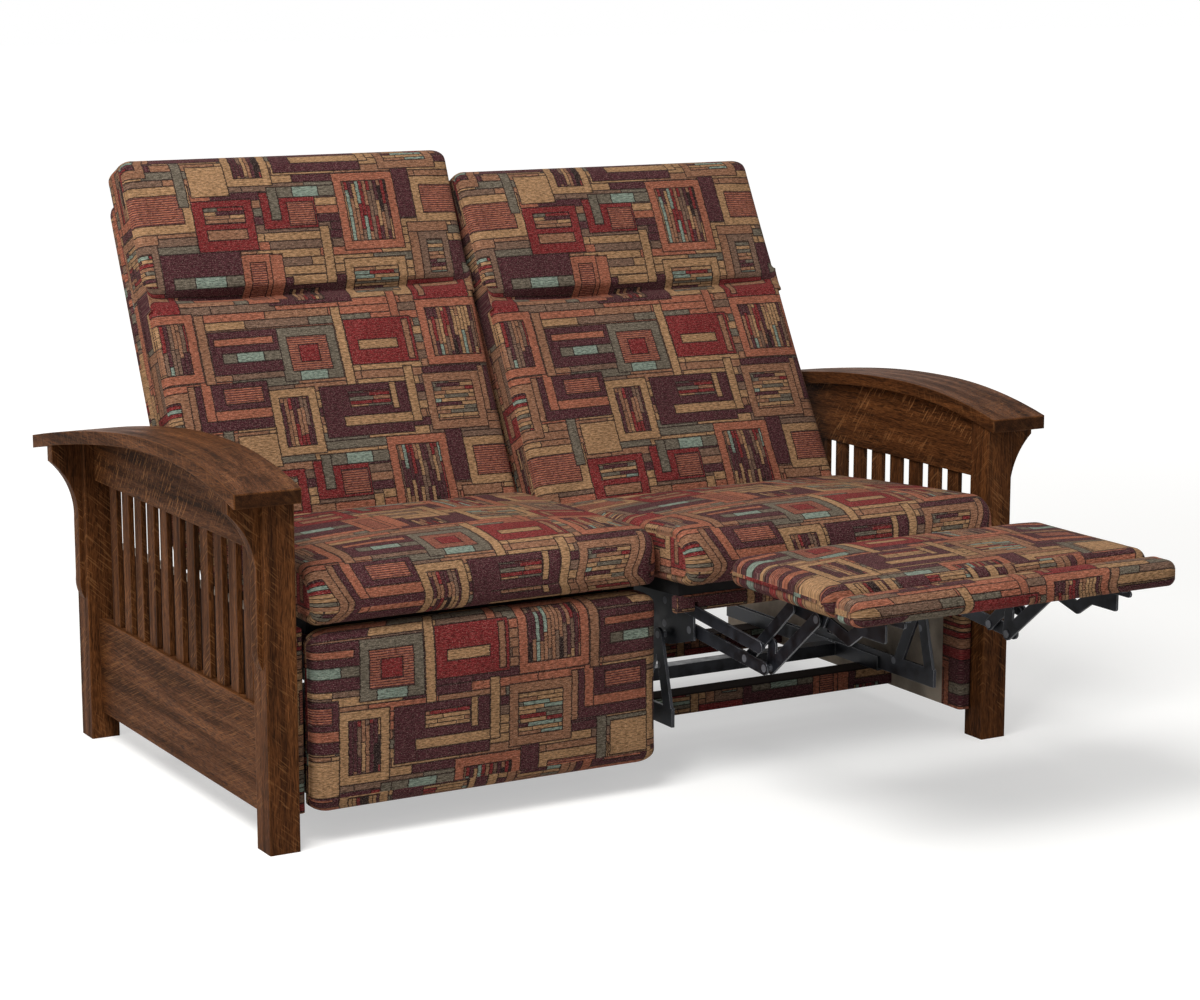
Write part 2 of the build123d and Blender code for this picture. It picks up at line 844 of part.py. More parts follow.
def flip_board():
    y = (flip_board_front_y(), flip_board_front_y() + flip_board_thickness)
    low, high = flip_span()
    return block((-board_half, board_half), y, (low + flip_board_inset, high - flip_board_inset))


def flip_pad():
    front = flip_board_front_y() + flip_board_thickness
    rear = front + flip_pad_thickness
    low, high = flip_span()
    base = pad_profile(-rear + flip_crown, -front, low, high, flip_pad_round, flip_crown)

    def profile(inset, crown):
        turned_path = []
        for step in base(inset, crown):
            if isinstance(step[0], tuple):
                turned_path.append(tuple((-p[0], p[1]) for p in step))
            else:
                turned_path.append((-step[0], step[1]))
        return turned_path
    return pillow(profile, seat_half)


def lean(depth, rise):
    """Point on the leaning back: depth behind its front line, rise along it."""
    along = turned((0, 1), back_lean)
    behind = turned((1, 0), back_lean)
    return plus(back_foot, plus(scaled(behind, depth), scaled(along, rise)))


def back_profile(inset, crown):
    def bulged(bulge):
        return inset / 2 - bulge * crown - crown_start

    face = inset / 2
    low = inset / 2
    high = back_high - inset / 2
    top = back_top_round
    foot = back_low_round
    heel = back_rear_round
    path = [
        (back_thickness, low),
        (face + foot, low),
        ((face + foot * soft_bow_share, low + foot * soft_bow_share), (face, low + foot)),
        ((bulged(lumbar_crown), (low + foot + fold_height - fold_half) / 2),
         (face + fold_depth / 8, fold_height - fold_half)),
        (face + fold_depth, fold_height),
        (face + fold_depth / 8, fold_height + fold_half),
        ((bulged(head_crown), (fold_height + fold_half + high - top) / 2), (face, high - top)),
        ((face + top * soft_bow_share, high - top * soft_bow_share), (face + top, high)),
        (back_thickness - heel, high),
        ((back_thickness - heel * soft_bow_share, high - heel * soft_bow_share),
         (back_thickness, high - heel)),
        (back_thickness, low),
    ]
    return [tuple(lean(*q) for q in p) if isinstance(p[0], tuple) else lean(*p) for p in path]


def back_cushion():
    return pillow(back_profile, seat_half)


def back_bracket_bars():
    foot = back_pivot
    tip = lean(back_thickness + cover_gap + cover_thickness / 2, stile_high)
    return bar(foot, tip, stile_width, lift_lane, [back_pivot])


def back_cover():
    """Padded outside back behind the cushion, slotted for its two steel brackets."""
    front = back_thickness + cover_gap
    rear = front + cover_thickness
    points = [lean(front, cover_low), lean(front, cover_high), lean(rear, cover_high),
              lean(rear, cover_low)]
    solid = across_x(round_loop(points, [0, 0, cover_round, cover_round]), -cover_half, cover_half)
    tip = lean(back_thickness + cover_gap + cover_thickness / 2, stile_high)
    for side in (left_side, right_side):
        x = sorted([side * lift_lane, side * (lift_lane + link_thickness)])
        solid -= across_x(capsule(back_pivot, tip, stile_width), x[0], x[1])
    return solid


seat_parts = {
    "slide_frame": ("slide", slide_frame),
    "seat_frame": ("seat", seat_frame),
    "front_rail": ("seat", front_rail),
    "seat_deck": ("seat", seat_deck),
    "seat_cushion": ("seat", lambda: pillow(seat_profile, seat_half)),
    "back_brackets": ("back", lambda: both_sides(back_bracket_bars())),
    "back_cover": ("back", back_cover),
    "back_cushion": ("back", back_cushion),
    "thigh_links": ("thigh", thigh_links),
    "lift_links": ("lift", lift_links),
    "shank_links": ("shank", shank_links),
    "stay_links": ("stay", stay_links),
    "footrest_brackets": ("board", footrest_brackets),
    "footrest_board": ("board", footrest_board),
    "footrest_pad": ("board", footrest_pad),
    "flip_brackets": ("flip", flip_brackets),
    "flip_board": ("flip", flip_board),
    "flip_pad": ("flip", flip_pad),
    "drive_links": ("drive", drive_links),
}


def build():
    nodes = {}
    over = above_arm()
    for word, side in (("left", left_side), ("right", right_side)):
        nodes[word + "_front_post"] = post(side, -1, over)
        nodes[word + "_rear_post"] = post(side, 1, over)
        nodes[word + "_bottom_rail"] = bottom_rail(side)
        nodes[word + "_top_rail"] = top_rail(side, over)
        nodes[word + "_slats"] = slats(side)
        nodes[word + "_arm_board"] = arm_board(side)
        nodes[word + "_front_corbel"] = corbel(side, -1, over)
        nodes[word + "_rear_corbel"] = corbel(side, 1, over)
        nodes[word + "_side_panel"] = side_panel(side)
    nodes["front_stretcher"] = stretcher(front_stretcher_y)
    nodes["rear_stretcher"] = stretcher(rear_stretcher_y)
    nodes["base_frame"] = base_frame()
    for name, (body, make) in seat_parts.items():
        shape = make()
        for word, side, opening in (("left", left_side, 0), ("right", right_side, 1)):
            spot = Pos(side * seat_centre_x, 0, 0) * poses(opening)[body]
            nodes[word + "_" + name] = [spot * solid for solid in solids_of(shape)]
    return nodes


def solids_of(shape):
    return shape if isinstance(shape, list) else [shape.solid()]


def overall_box(nodes):
    boxes = [solid.bounding_box() for shape in nodes.values() for solid in solids_of(shape)]
    low = [min(getattr(box.min, axis) for box in boxes) for axis in "XYZ"]
    high = [max(getattr(box.max, axis) for box in boxes) for axis in "XYZ"]
    return low, high


# The origin lies on the floor under the middle of the part as it stands at rest
nodes = build()
box_low, box_high = overall_box(nodes)
row_shift = -(box_low[1] + box_high[1]) / 2
os.makedirs("parts", exist_ok=True)
for name, shape in nodes.items():
    moved = [Pos(0, row_shift, 0) * solid for solid in solids_of(shape)]
    export_step(moved[0] if len(moved) == 1 else Compound(children=moved), "parts/" + name + ".step")
print("nodes", len(nodes), "row shift", round(row_shift, 3))
print("size", [round(high - low, 1) for low, high in zip(box_low, box_high)])
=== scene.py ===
import json
import math
import bpy
import numpy as np
from mathutils import Matrix, Vector


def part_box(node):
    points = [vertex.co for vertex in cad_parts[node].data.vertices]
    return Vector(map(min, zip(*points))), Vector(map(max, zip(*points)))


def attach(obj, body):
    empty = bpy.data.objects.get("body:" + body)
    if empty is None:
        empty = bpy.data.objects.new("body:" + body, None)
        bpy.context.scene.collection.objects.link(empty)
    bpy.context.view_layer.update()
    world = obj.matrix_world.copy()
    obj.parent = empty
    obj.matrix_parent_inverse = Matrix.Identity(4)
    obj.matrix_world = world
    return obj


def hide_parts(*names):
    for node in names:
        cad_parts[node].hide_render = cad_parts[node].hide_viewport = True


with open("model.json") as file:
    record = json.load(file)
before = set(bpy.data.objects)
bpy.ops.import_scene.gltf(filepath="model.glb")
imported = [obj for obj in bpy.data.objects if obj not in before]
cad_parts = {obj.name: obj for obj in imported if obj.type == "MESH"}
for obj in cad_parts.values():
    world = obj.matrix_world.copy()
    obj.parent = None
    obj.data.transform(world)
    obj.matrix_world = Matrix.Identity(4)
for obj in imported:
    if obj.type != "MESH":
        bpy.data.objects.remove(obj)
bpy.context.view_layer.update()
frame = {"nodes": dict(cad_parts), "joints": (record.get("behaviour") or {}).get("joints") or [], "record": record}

mm = 0.001
sides = ("left", "right")
joints = {j["name"]: j for j in frame["joints"]}
print("frame loaded")

# Camera

view = {
    "azimuth": -29.79,      # degrees
    "elevation": 10.68,
    "away": 5.588,          # metres, along the view direction
    "sideways": 0.1099,
    "up": 0.4488,
    "behind": 0.2605,       # how far the point that the camera is placed around lies behind the origin
    "sight": 60.0,
    "lens": 87.5,           # millimetres
    "sensor": 36.0,
}


def placeCamera(v):
    az, el = math.radians(v["azimuth"]), math.radians(v["elevation"])
    back = Vector((math.sin(az) * math.cos(el), -math.cos(az) * math.cos(el), math.sin(el)))
    right = Vector((math.cos(az), math.sin(az), 0))
    top = right.cross(back) * -1
    spot = back * v["away"] + right * v["sideways"] + top * v["up"]
    spot += Vector((0, v["behind"], 0))
    data = bpy.data.cameras.new("photoCamera")
    data.lens = v["lens"]
    data.sensor_width = v["sensor"]
    data.clip_end = v["sight"]
    camera = bpy.data.objects.new("photoCamera", data)
    turn = Matrix((right, top, back)).transposed().to_4x4()
    camera.matrix_world = Matrix.Translation(spot) @ turn
    bpy.context.scene.collection.objects.link(camera)
    bpy.context.scene.camera = camera


# Node helpers

def wire(tree, socket, value):
    if isinstance(value, bpy.types.NodeSocket):
        tree.links.new(value, socket)
    else:
        socket.default_value = value


def node(tree, kind, *values, **settings):
    made = tree.nodes.new("ShaderNode" + kind)
    for key, value in settings.items():
        setattr(made, key, value)
    for socket, value in zip(made.inputs, values):
        if value is not None:
            wire(tree, socket, value)
    return made


def maths(tree, operation, *values):
    return node(tree, "Math", *values, operation=operation).outputs[0]


def vectorMaths(tree, operation, *values):
    return node(tree, "VectorMath", *values, operation=operation).outputs[0]


def vectorValue(tree, operation, *values):
    return node(tree, "VectorMath", *values, operation=operation).outputs["Value"]


def dimmed(tree, colour, factor):
    made = node(tree, "VectorMath", colour, operation="SCALE")
    wire(tree, made.inputs["Scale"], factor)
    return made.outputs[0]


def joined(tree, x, y, z=0.0):
    return node(tree, "CombineXYZ", x, y, z).outputs[0]


def parted(tree, vector):
    return node(tree, "SeparateXYZ", vector).outputs


def objectPlace(tree):
    return node(tree, "TexCoord").outputs["Object"]


def faceNormal(tree):
    return node(tree, "NewGeometry").outputs["Normal"]


def mixed(tree, kind, factor, a, b):
    made = node(tree, "Mix", data_type=kind)
    first, second, result = {"FLOAT": (2, 3, 0), "RGBA": (6, 7, 2)}[kind]
    wire(tree, made.inputs[0], factor)
    wire(tree, made.inputs[first], a)
    wire(tree, made.inputs[second], b)
    return made.outputs[result]


def blended(tree, factor, a, b):
    return mixed(tree, "RGBA", factor, a, b)


def either(tree, factor, a, b):
    return mixed(tree, "FLOAT", factor, a, b)


def spread(tree, value, low, high, toLow=0.0, toHigh=1.0):
    made = node(tree, "MapRange", value, low, high, toLow, toHigh, interpolation_type="SMOOTHSTEP")
    return made.outputs[0]


def noise(tree, vector, scale, detail=2.0, rough=0.5, distortion=0.0):
    made = node(tree, "TexNoise")
    wire(tree, made.inputs["Vector"], vector)
    made.inputs["Scale"].default_value = scale
    made.inputs["Detail"].default_value = detail
    made.inputs["Roughness"].default_value = rough
    made.inputs["Distortion"].default_value = distortion
    return made.outputs["Fac"]


def luck(tree, x, y, z):
    made = node(tree, "TexWhiteNoise", joined(tree, x, y, z), noise_dimensions="3D")
    return made.outputs["Value"]


def ramp(tree, value, stops, step=False):
    made = node(tree, "ValToRGB", value)
    made.color_ramp.interpolation = "CONSTANT" if step else "LINEAR"
    while len(made.color_ramp.elements) < len(stops):
        made.color_ramp.elements.new(0.5)
    for element, (place, colour) in zip(made.color_ramp.elements, stops):
        element.position = place
        element.color = colour
    return made.outputs[0]


# Screen colour from 0 to 255 turned into a linear colour
def shade(red, green, blue):
    s = np.array([red, green, blue]) / 255
    linear = np.where(s <= 0.04045, s / 12.92, ((s + 0.055) / 1.055) ** 2.4)
    return (*[float(c) for c in linear], 1.0)


def newMaterial(name):
    material = bpy.data.materials.new(name)
    material.use_nodes = True
    tree = material.node_tree
    tree.nodes.clear()
    skin = node(tree, "BsdfPrincipled")
    out = node(tree, "OutputMaterial")
    tree.links.new(skin.outputs[0], out.inputs[0])
    return material, tree, skin


def setSkin(skin, values):
    for name, value in values.items():
        skin.inputs[name].default_value = value


# The amount is the bump's strength and its height in millimetres
def addBump(tree, skin, amount, height, rounded=None):
    bump = node(tree, "Bump")
    strength, distance = amount
    bump.inputs["Strength"].default_value = strength
    bump.inputs["Distance"].default_value = distance * mm
    wire(tree, bump.inputs["Height"], height)
    if rounded is not None:
        wire(tree, bump.inputs["Normal"], rounded)
    tree.links.new(bump.outputs[0], skin.inputs["Normal"])


# The normal of rounded edges, and a value that goes from 0 to 1 where it turns away from the face's own,
# from a cosine of 0.999 to that of a full edge
def roundedEdges(tree, width, samples, fullEdge):
    rounded = node(tree, "Bevel", width * mm, samples=samples).outputs[0]
    bend = vectorValue(tree, "DOT_PRODUCT", rounded, faceNormal(tree))
    return rounded, spread(tree, bend, 0.999, fullEdge)


# Studio

studio = {
    "floorReach": 40.0,
    "floorSkin": {"Base Color": shade(206, 205, 202), "Roughness": 0.9, "Specular IOR Level": 0.0,
                  "Emission Color": (1.0, 1.0, 1.0, 1.0)},
    "liftNear": 0.46,           # light that only sight adds, by the object and far behind it
    "liftFar": 0.82,
    "liftFrom": 1.6,
    "liftTo": 6.0,
    "worldLight": 0.34,
    "aim": (0.0, 0.0, 0.5),
    "lamps": {                  # place, size, power
        "keyLamp": ((-2.6, -1.5, 4.4), 2.4, 240.0),
        "fillLamp": ((3.4, -3.2, 1.9), 3.0, 14.0),
        "sideLamp": ((-4.4, -0.9, 1.6), 2.4, 36.0),
        "rimLamp": ((0.6, 3.4, 3.0), 2.6, 30.0),
    },
}


def seenBySight(tree):
    rays = node(tree, "LightPath").outputs
    seen = maths(tree, "MAXIMUM", rays["Is Camera Ray"], rays["Is Glossy Ray"])
    return maths(tree, "MAXIMUM", seen, rays["Is Transmission Ray"])


def makeWorld(s):
    world = bpy.data.worlds.new("paleStudio")
    bpy.context.scene.world = world
    world.use_nodes = True
    tree = world.node_tree
    tree.nodes.clear()
    strength = either(tree, seenBySight(tree), s["worldLight"], 1.0)
    light = node(tree, "Background", (1.0, 1.0, 1.0, 1.0), strength)
    tree.links.new(light.outputs[0], node(tree, "OutputWorld").inputs[0])


def makeFloor(s):
    data = bpy.data.meshes.new("paleFloor")
    reach = s["floorReach"]
    corners = [(-reach, -reach, 0), (reach, -reach, 0), (reach, reach, 0), (-reach, reach, 0)]
    data.from_pydata(corners, [], [(0, 1, 2, 3)])
    floor = bpy.data.objects.new("paleFloor", data)
    bpy.context.scene.collection.objects.link(floor)
    material, tree, skin = newMaterial("paleFloorPaint")
    setSkin(skin, s["floorSkin"])
    away = vectorValue(tree, "LENGTH", objectPlace(tree))
    lift = spread(tree, away, s["liftFrom"], s["liftTo"], s["liftNear"], s["liftFar"])
    tree.links.new(maths(tree, "MULTIPLY", seenBySight(tree), lift), skin.inputs["Emission Strength"])
    data.materials.append(material)


def hangLamps(s):
    for name, (place, size, power) in s["lamps"].items():
        lamp = bpy.data.lights.new(name, "AREA")
        lamp.size = size
        lamp.energy = power
        held = bpy.data.objects.new(name, lamp)
        aim = (Vector(s["aim"]) - Vector(place)).to_track_quat("-Z", "Y")
        held.matrix_world = Matrix.Translation(place) @ aim.to_matrix().to_4x4()
        bpy.context.scene.collection.objects.link(held)


placeCamera(view)
makeWorld(studio)
makeFloor(studio)
hangLamps(studio)
bpy.context.scene.view_settings.view_transform = "Standard"
print("camera and studio placed")

# Patchwork chenille

cloth = {
    "tile": (0.60, 0.56),           # repeat, metres
    "plum": shade(68, 35, 40),
    "brick": shade(108, 36, 37),
    "clay": shade(140, 84, 64),
    "camel": shade(146, 112, 80),
    "tan": shade(128, 90, 68),
    "taupe": shade(104, 80, 66),
    "sage": shade(94, 86, 74),
    "aqua": shade(112, 124, 112),
    "outline": shade(36, 25, 25),
    "pale": shade(178, 160, 142),
    "paleShare": 0.3,
    "outlineShare": 0.92,
    "fleckTone": (0.48, 1.45),      # brightness from the darkest to the lightest
    "fineTone": (-0.15, 0.15),
    "broadTone": (0.9, 1.1),
    "outlineWidth": 1.7,            # millimetres, as the lengths below
    "thinLine": (1.1, 0.6),
    "raggedBy": 1.6,
    "row": 2.2,
    "fleckLength": 9.0,
    "barHeight": 16.5,
    "barLength": 130.0,
    "stripeWidth": 7.6,
    "stripeLength": 52.0,
    "ribHeight": 4.4,
    "ribEdge": (0.56, 0.66),        # share of a rib where the lighter colour ends, then the darker starts
    "rowShift": 7.0,                # most that luck moves a row of bars, in lengths of its bars
    "bump": (0.5, 1.4),
    "skin": {"Roughness": 0.88, "Specular IOR Level": 0.05, "Sheen Weight": 0.07,
             "Sheen Roughness": 0.45, "Sheen Tint": shade(190, 160, 140)},
    # Colours of the random bars, each with the share of luck where it starts
    "bars": ((0.0, "camel"), (0.27, "tan"), (0.5, "clay"), (0.64, "taupe"), (0.78, "sage"), (0.88, "plum")),
    "stripes": ((0.0, "plum"), (0.24, "camel"), (0.42, "brick"), (0.54, "tan"), (0.74, "taupe"),
                (0.86, "outline"), (0.93, "aqua")),
    "stack": ((0.0, "camel"), (0.34, "tan"), (0.54, "brick"), (0.68, "sage"), (0.82, "plum"),
              (0.93, "aqua")),
}

# Each patch: left, right, low, high in millimetres within the tile, and its colour or filling
patches = [
    (0, 170, 10, 95, "plum"),
    (170, 300, 16, 124, "camel"),
    (188, 282, 34, 106, "stack"),
    (300, 420, 0, 72, "brick"),
    (400, 560, 60, 150, "plum"),
    (420, 560, 82, 104, "sage"),
    (462, 524, 82, 104, "aqua"),
    (560, 624, 16, 142, "clay"),
    (576, 608, 32, 126, "ribs"),
    (60, 150, 78, 98, "camel"),
    (130, 150, 78, 190, "camel"),
    (18, 44, 26, 140, "clay"),
    (316, 336, 72, 190, "tan"),
    (316, 404, 170, 190, "tan"),
    (336, 400, 72, 170, "taupe"),
    (352, 386, 88, 154, "stack"),
    (176, 304, 140, 296, "clay"),
    (194, 286, 158, 278, "stripes"),
    (18, 130, 188, 262, "brick"),
    (36, 176, 250, 272, "sage"),
    (36, 56, 206, 272, "sage"),
    (88, 142, 250, 272, "aqua"),
    (340, 480, 190, 284, "camel"),
    (358, 462, 208, 266, "ribs"),
    (480, 600, 150, 250, "brick"),
    (502, 582, 172, 192, "tan"),
    (304, 340, 200, 322, "plum"),
    (456, 476, 240, 344, "sage"),
    (484, 560, 258, 322, "camel"),
    (60, 242, 302, 402, "plum"),
    (100, 262, 322, 341, "camel"),
    (243, 262, 322, 432, "camel"),
    (118, 204, 358, 388, "stack"),
    (280, 404, 302, 414, "tan"),
    (298, 386, 320, 396, "stack"),
    (404, 560, 334, 424, "plum"),
    (430, 560, 354, 373, "clay"),
    (430, 449, 354, 442, "clay"),
    (560, 652, 276, 404, "camel"),
    (577, 635, 293, 387, "stripes"),
    (-2, 118, 418, 524, "sage"),
    (17, 99, 437, 505, "ribs"),
    (38, 78, 454, 488, "brick"),
    (30, 86, 418, 437, "aqua"),
    (140, 282, 440, 532, "brick"),
    (162, 244, 470, 489, "camel"),
    (300, 440, 430, 564, "clay"),
    (318, 422, 448, 546, "stripes"),
    (462, 600, 440, 524, "plum"),
    (484, 600, 462, 481, "sage"),
    (512, 566, 462, 481, "aqua"),
    (442, 461, 424, 560, "tan"),
    (120, 139, 402, 560, "camel"),
    (244, 262, 532, 590, "clay"),
    (72, 126, 194, 240, "ribs"),
    (314, 406, 44, 57, "tan"),
    (314, 327, 12, 57, "tan"),
    (56, 116, 18, 66, "stripes"),
    (262, 275, 446, 526, "tan"),
    (472, 590, 496, 510, "clay"),
    (502, 582, 204, 236, "stack"),
    (472, 548, 384, 414, "ribs"),
    (404, 417, 334, 424, "tan"),
    (206, 219, 350, 402, "camel"),
]


# One rectangle laid over what is below: inside it shows its colour, and the edge value is the distance
# to the nearest outline
def makePatchGroup():
    group = bpy.data.node_groups.new("patch", "ShaderNodeTree")
    face = group.interface
    for name, kind in (("Point", "Vector"), ("Middle", "Vector"), ("Half", "Vector"),
                       ("Colour", "Color"), ("Below", "Color"), ("Edge", "Float")):
        face.new_socket(name, in_out="INPUT", socket_type="NodeSocket" + kind)
    face.new_socket("Colour", in_out="OUTPUT", socket_type="NodeSocketColor")
    face.new_socket("Edge", in_out="OUTPUT", socket_type="NodeSocketFloat")
    given = group.nodes.new("NodeGroupInput").outputs
    result = group.nodes.new("NodeGroupOutput").inputs
    width, height = cloth["tile"]
    offset = vectorMaths(group, "SUBTRACT", given["Point"], given["Middle"])
    most = (width / 2, height / 2, 1)
    least = (-width / 2, -height / 2, -1)
    wrapped = vectorMaths(group, "WRAP", offset, most, least)
    past = vectorMaths(group, "SUBTRACT", vectorMaths(group, "ABSOLUTE", wrapped), given["Half"])
    x, y, _ = parted(group, past)
    away = maths(group, "MAXIMUM", x, y)
    inside = maths(group, "LESS_THAN", away, 0.0)
    group.links.new(blended(group, inside, given["Below"], given["Colour"]), result["Colour"])
    outer = maths(group, "MINIMUM", given["Edge"], away)
    inner = maths(group, "MULTIPLY", away, -1.0)
    group.links.new(either(group, inside, outer, inner), result["Edge"])
    return group


# Distance from the nearest cell edge: the cell's size times how far the share is from 0 and 1
def nearLine(tree, share, size):
    other = maths(tree, "SUBTRACT", 1.0, share)
    return maths(tree, "MULTIPLY", maths(tree, "MINIMUM", share, other), size)


# Rows of bars: each row is shifted by its own random amount, and each bar takes a random colour
def barField(tree, x, y, height, longest, kind, salt):
    row = maths(tree, "DIVIDE", y, height)
    rowCell = maths(tree, "FLOOR", row)
    shift = maths(tree, "MULTIPLY", luck(tree, rowCell, salt, 0.5), cloth["rowShift"])
    along = maths(tree, "ADD", maths(tree, "DIVIDE", x, longest), shift)
    barLuck = luck(tree, rowCell, maths(tree, "FLOOR", along), 3.7)
    colour = ramp(tree, barLuck, [(start, cloth[name]) for start, name in cloth[kind]], step=True)
    ends = nearLine(tree, maths(tree, "FRACT", along), longest)
    sideLines = nearLine(tree, maths(tree, "FRACT", row), height)
    return colour, maths(tree, "MINIMUM", ends, sideLines)


# Thin bars with a dark line round each
def linedField(tree, x, y, kind, salt):
    c = cloth
    colour, near = barField(tree, x, y, c["stripeWidth"] * mm, c["stripeLength"] * mm, kind, salt)
    none, full = c["thinLine"]
    return blended(tree, spread(tree, near, none * mm, full * mm), colour, c["outline"])


def ribField(tree, y):
    rib = maths(tree, "FRACT", maths(tree, "DIVIDE", y, cloth["ribHeight"] * mm))
    return blended(tree, spread(tree, rib, *cloth["ribEdge"]), cloth["clay"], cloth["plum"])


# The ground of bars, with every patch laid over it in turn, and the outlines on top
def layPatches(tree, x, y):
    c = cloth
    colour, edge = barField(tree, x, y, c["barHeight"] * mm, c["barLength"] * mm, "bars", 1.3)
    fillings = {
        "stripes": linedField(tree, y, x, "stripes", 8.1),
        "stack": linedField(tree, x, y, "stack", 5.6),
        "ribs": ribField(tree, y),
    }
    ragged = joined(tree, x, y)
    patch = bpy.data.node_groups.get("patch") or makePatchGroup()
    for left, right, low, high, filling in patches:
        made = node(tree, "Group", node_tree=patch)
        wire(tree, made.inputs["Point"], ragged)
        made.inputs["Middle"].default_value = ((left + right) / 2 * mm, (low + high) / 2 * mm, 0)
        made.inputs["Half"].default_value = ((right - left) / 2 * mm, (high - low) / 2 * mm, 1)
        wire(tree, made.inputs["Colour"], fillings.get(filling) or c[filling])
        wire(tree, made.inputs["Below"], colour)
        wire(tree, made.inputs["Edge"], edge)
        colour, edge = made.outputs["Colour"], made.outputs["Edge"]
    line = spread(tree, edge, c["outlineWidth"] * mm, c["outlineWidth"] * 0.5 * mm)
    return blended(tree, maths(tree, "MULTIPLY", line, c["outlineShare"]), colour, c["outline"])


# Colour and height of the woven patchwork at a point in metres on the cloth
def paintCloth(tree, point):
    c = cloth
    x, y, _ = parted(tree, point)
    jag = node(tree, "TexWhiteNoise", noise_dimensions="1D")
    wire(tree, jag.inputs["W"], maths(tree, "FLOOR", maths(tree, "DIVIDE", y, c["row"] * mm)))
    jump = maths(tree, "SUBTRACT", jag.outputs["Value"], 0.5)
    x = maths(tree, "ADD", x, maths(tree, "MULTIPLY", jump, c["raggedBy"] * mm))
    colour = layPatches(tree, x, y)
    # Flecks of the chenille, long across the cloth
    long = vectorMaths(tree, "MULTIPLY", point, (1 / c["fleckLength"], 1 / c["row"], 1.0))
    fleck = noise(tree, long, 1 / mm, 2.0, 0.6)
    fine = noise(tree, vectorMaths(tree, "MULTIPLY", point, (0.35, 1.0, 1.0)), 1100.0, 1.0)
    broad = noise(tree, point, 9.0, 3.0)
    tone = maths(tree, "ADD", spread(tree, fleck, 0.3, 0.7, *c["fleckTone"]),
                 spread(tree, fine, 0.3, 0.7, *c["fineTone"]))
    tone = maths(tree, "MULTIPLY", tone, spread(tree, broad, 0.3, 0.7, *c["broadTone"]))
    pale = maths(tree, "MULTIPLY", spread(tree, fine, 0.56, 0.7), c["paleShare"])
    colour = dimmed(tree, blended(tree, pale, colour, c["pale"]), tone)
    rowWave = maths(tree, "SINE", maths(tree, "MULTIPLY", y, 2 * math.pi / (c["row"] * mm)))
    return colour, maths(tree, "ADD", maths(tree, "MULTIPLY", rowWave, 0.3), fleck)


# Cloth on a piece with its own map in metres, or on a board by its place in space; a cover gives the share
# of cloth at a place, and the bare colour where there is none
def makeCloth(name, point, cover=None):
    material, tree, skin = newMaterial(name)
    colour, height = paintCloth(tree, point(tree))
    if cover is not None:
        share, bare = cover(tree)
        colour = blended(tree, share, bare, colour)
    tree.links.new(colour, skin.inputs["Base Color"])
    setSkin(skin, cloth["skin"])
    addBump(tree, skin, cloth["bump"], height)
    return material


def clothMap(tree):
    return node(tree, "UVMap", uv_map="cloth").outputs[0]


def boardMap(tree):
    x, y, z = parted(tree, objectPlace(tree))
    return joined(tree, maths(tree, "ADD", x, y), z)


# Plain linings, and a dark lining colour painted as shade on the stretchers' tops

plainLiningAndTopShade = {
    "panelInner": shade(186, 172, 156),
    "panelOuter": shade(44, 34, 31),
    # dark lining colour painted on the stretchers' top faces as painted shade
    "stretcherTopPaintedShade": shade(34, 28, 27),
    "panelWrap": 0.058,     # the cloth goes this far back from a side panel's front edge, metres
    "thread": 1.8,          # millimetres
    "light": 1.25,          # brightness of the lightest and darkest places
    "dark": 0.62,
    "weave": 0.3,           # how much darker it gets between the threads
}
deckLining = {
    "colour": shade(30, 28, 28),
    "thread": 1.6,
    "light": 1.5,
    "dark": 0.6,
    "weave": 0.35,
    "bump": (0.4, 0.4),
    "skin": {"Roughness": 0.92, "Specular IOR Level": 0.15},
}


# Crossed threads over a slow change of tone; gives the colour and the height
def paintLining(tree, colour, look):
    place = objectPlace(tree)
    x, y, z = parted(tree, place)
    turn = 2 * math.pi / (look["thread"] * mm)
    across = maths(tree, "SINE", maths(tree, "MULTIPLY", maths(tree, "ADD", x, y), turn))
    along = maths(tree, "SINE", maths(tree, "MULTIPLY", maths(tree, "ADD", z, y), turn))
    weave = maths(tree, "MAXIMUM", across, along)
    tone = noise(tree, place, 14.0, 4.0)
    lighter = tuple(min(1.0, c * look["light"]) for c in colour[:3]) + (1.0,)
    darker = tuple(c * look["dark"] for c in colour[:3]) + (1.0,)
    painted = blended(tree, spread(tree, tone, 0.3, 0.7), darker, lighter)
    painted = blended(tree, spread(tree, weave, 0.2, 1.0, 0.0, look["weave"]), painted, darker)
    return painted, maths(tree, "ADD", weave, tone)


def makeLining(name, look):
    material, tree, skin = newMaterial(name)
    colour, height = paintLining(tree, look["colour"], look)
    tree.links.new(colour, skin.inputs["Base Color"])
    setSkin(skin, look["skin"])
    addBump(tree, skin, look["bump"], height)
    return material


# Behind the wrap a side panel's inner face has a pale lining, and its outer face, whose normal points away
# from the seats, a dark one
def frontOnly(tree):
    x, y, _ = parted(tree, objectPlace(tree))
    facing = parted(tree, faceNormal(tree))[0]
    outer = spread(tree, maths(tree, "MULTIPLY", maths(tree, "SIGN", x), facing), 0.4, 0.6)
    pale = paintLining(tree, plainLiningAndTopShade["panelInner"], plainLiningAndTopShade)[0]
    dark = paintLining(tree, plainLiningAndTopShade["panelOuter"], plainLiningAndTopShade)[0]
    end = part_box("left_side_panel")[0][1] + plainLiningAndTopShade["panelWrap"]
    return spread(tree, y, end + 1 * mm, end - 1 * mm), blended(tree, outer, pale, dark)


# Faces whose normal points up take a dark lining colour as painted shade; the other faces take the cloth
def paintedShadeOnTops(tree):
    up = parted(tree, faceNormal(tree))[2]
    return spread(tree, up, 0.6, 0.4), paintLining(tree, plainLiningAndTopShade["stretcherTopPaintedShade"], plainLiningAndTopShade)[0]


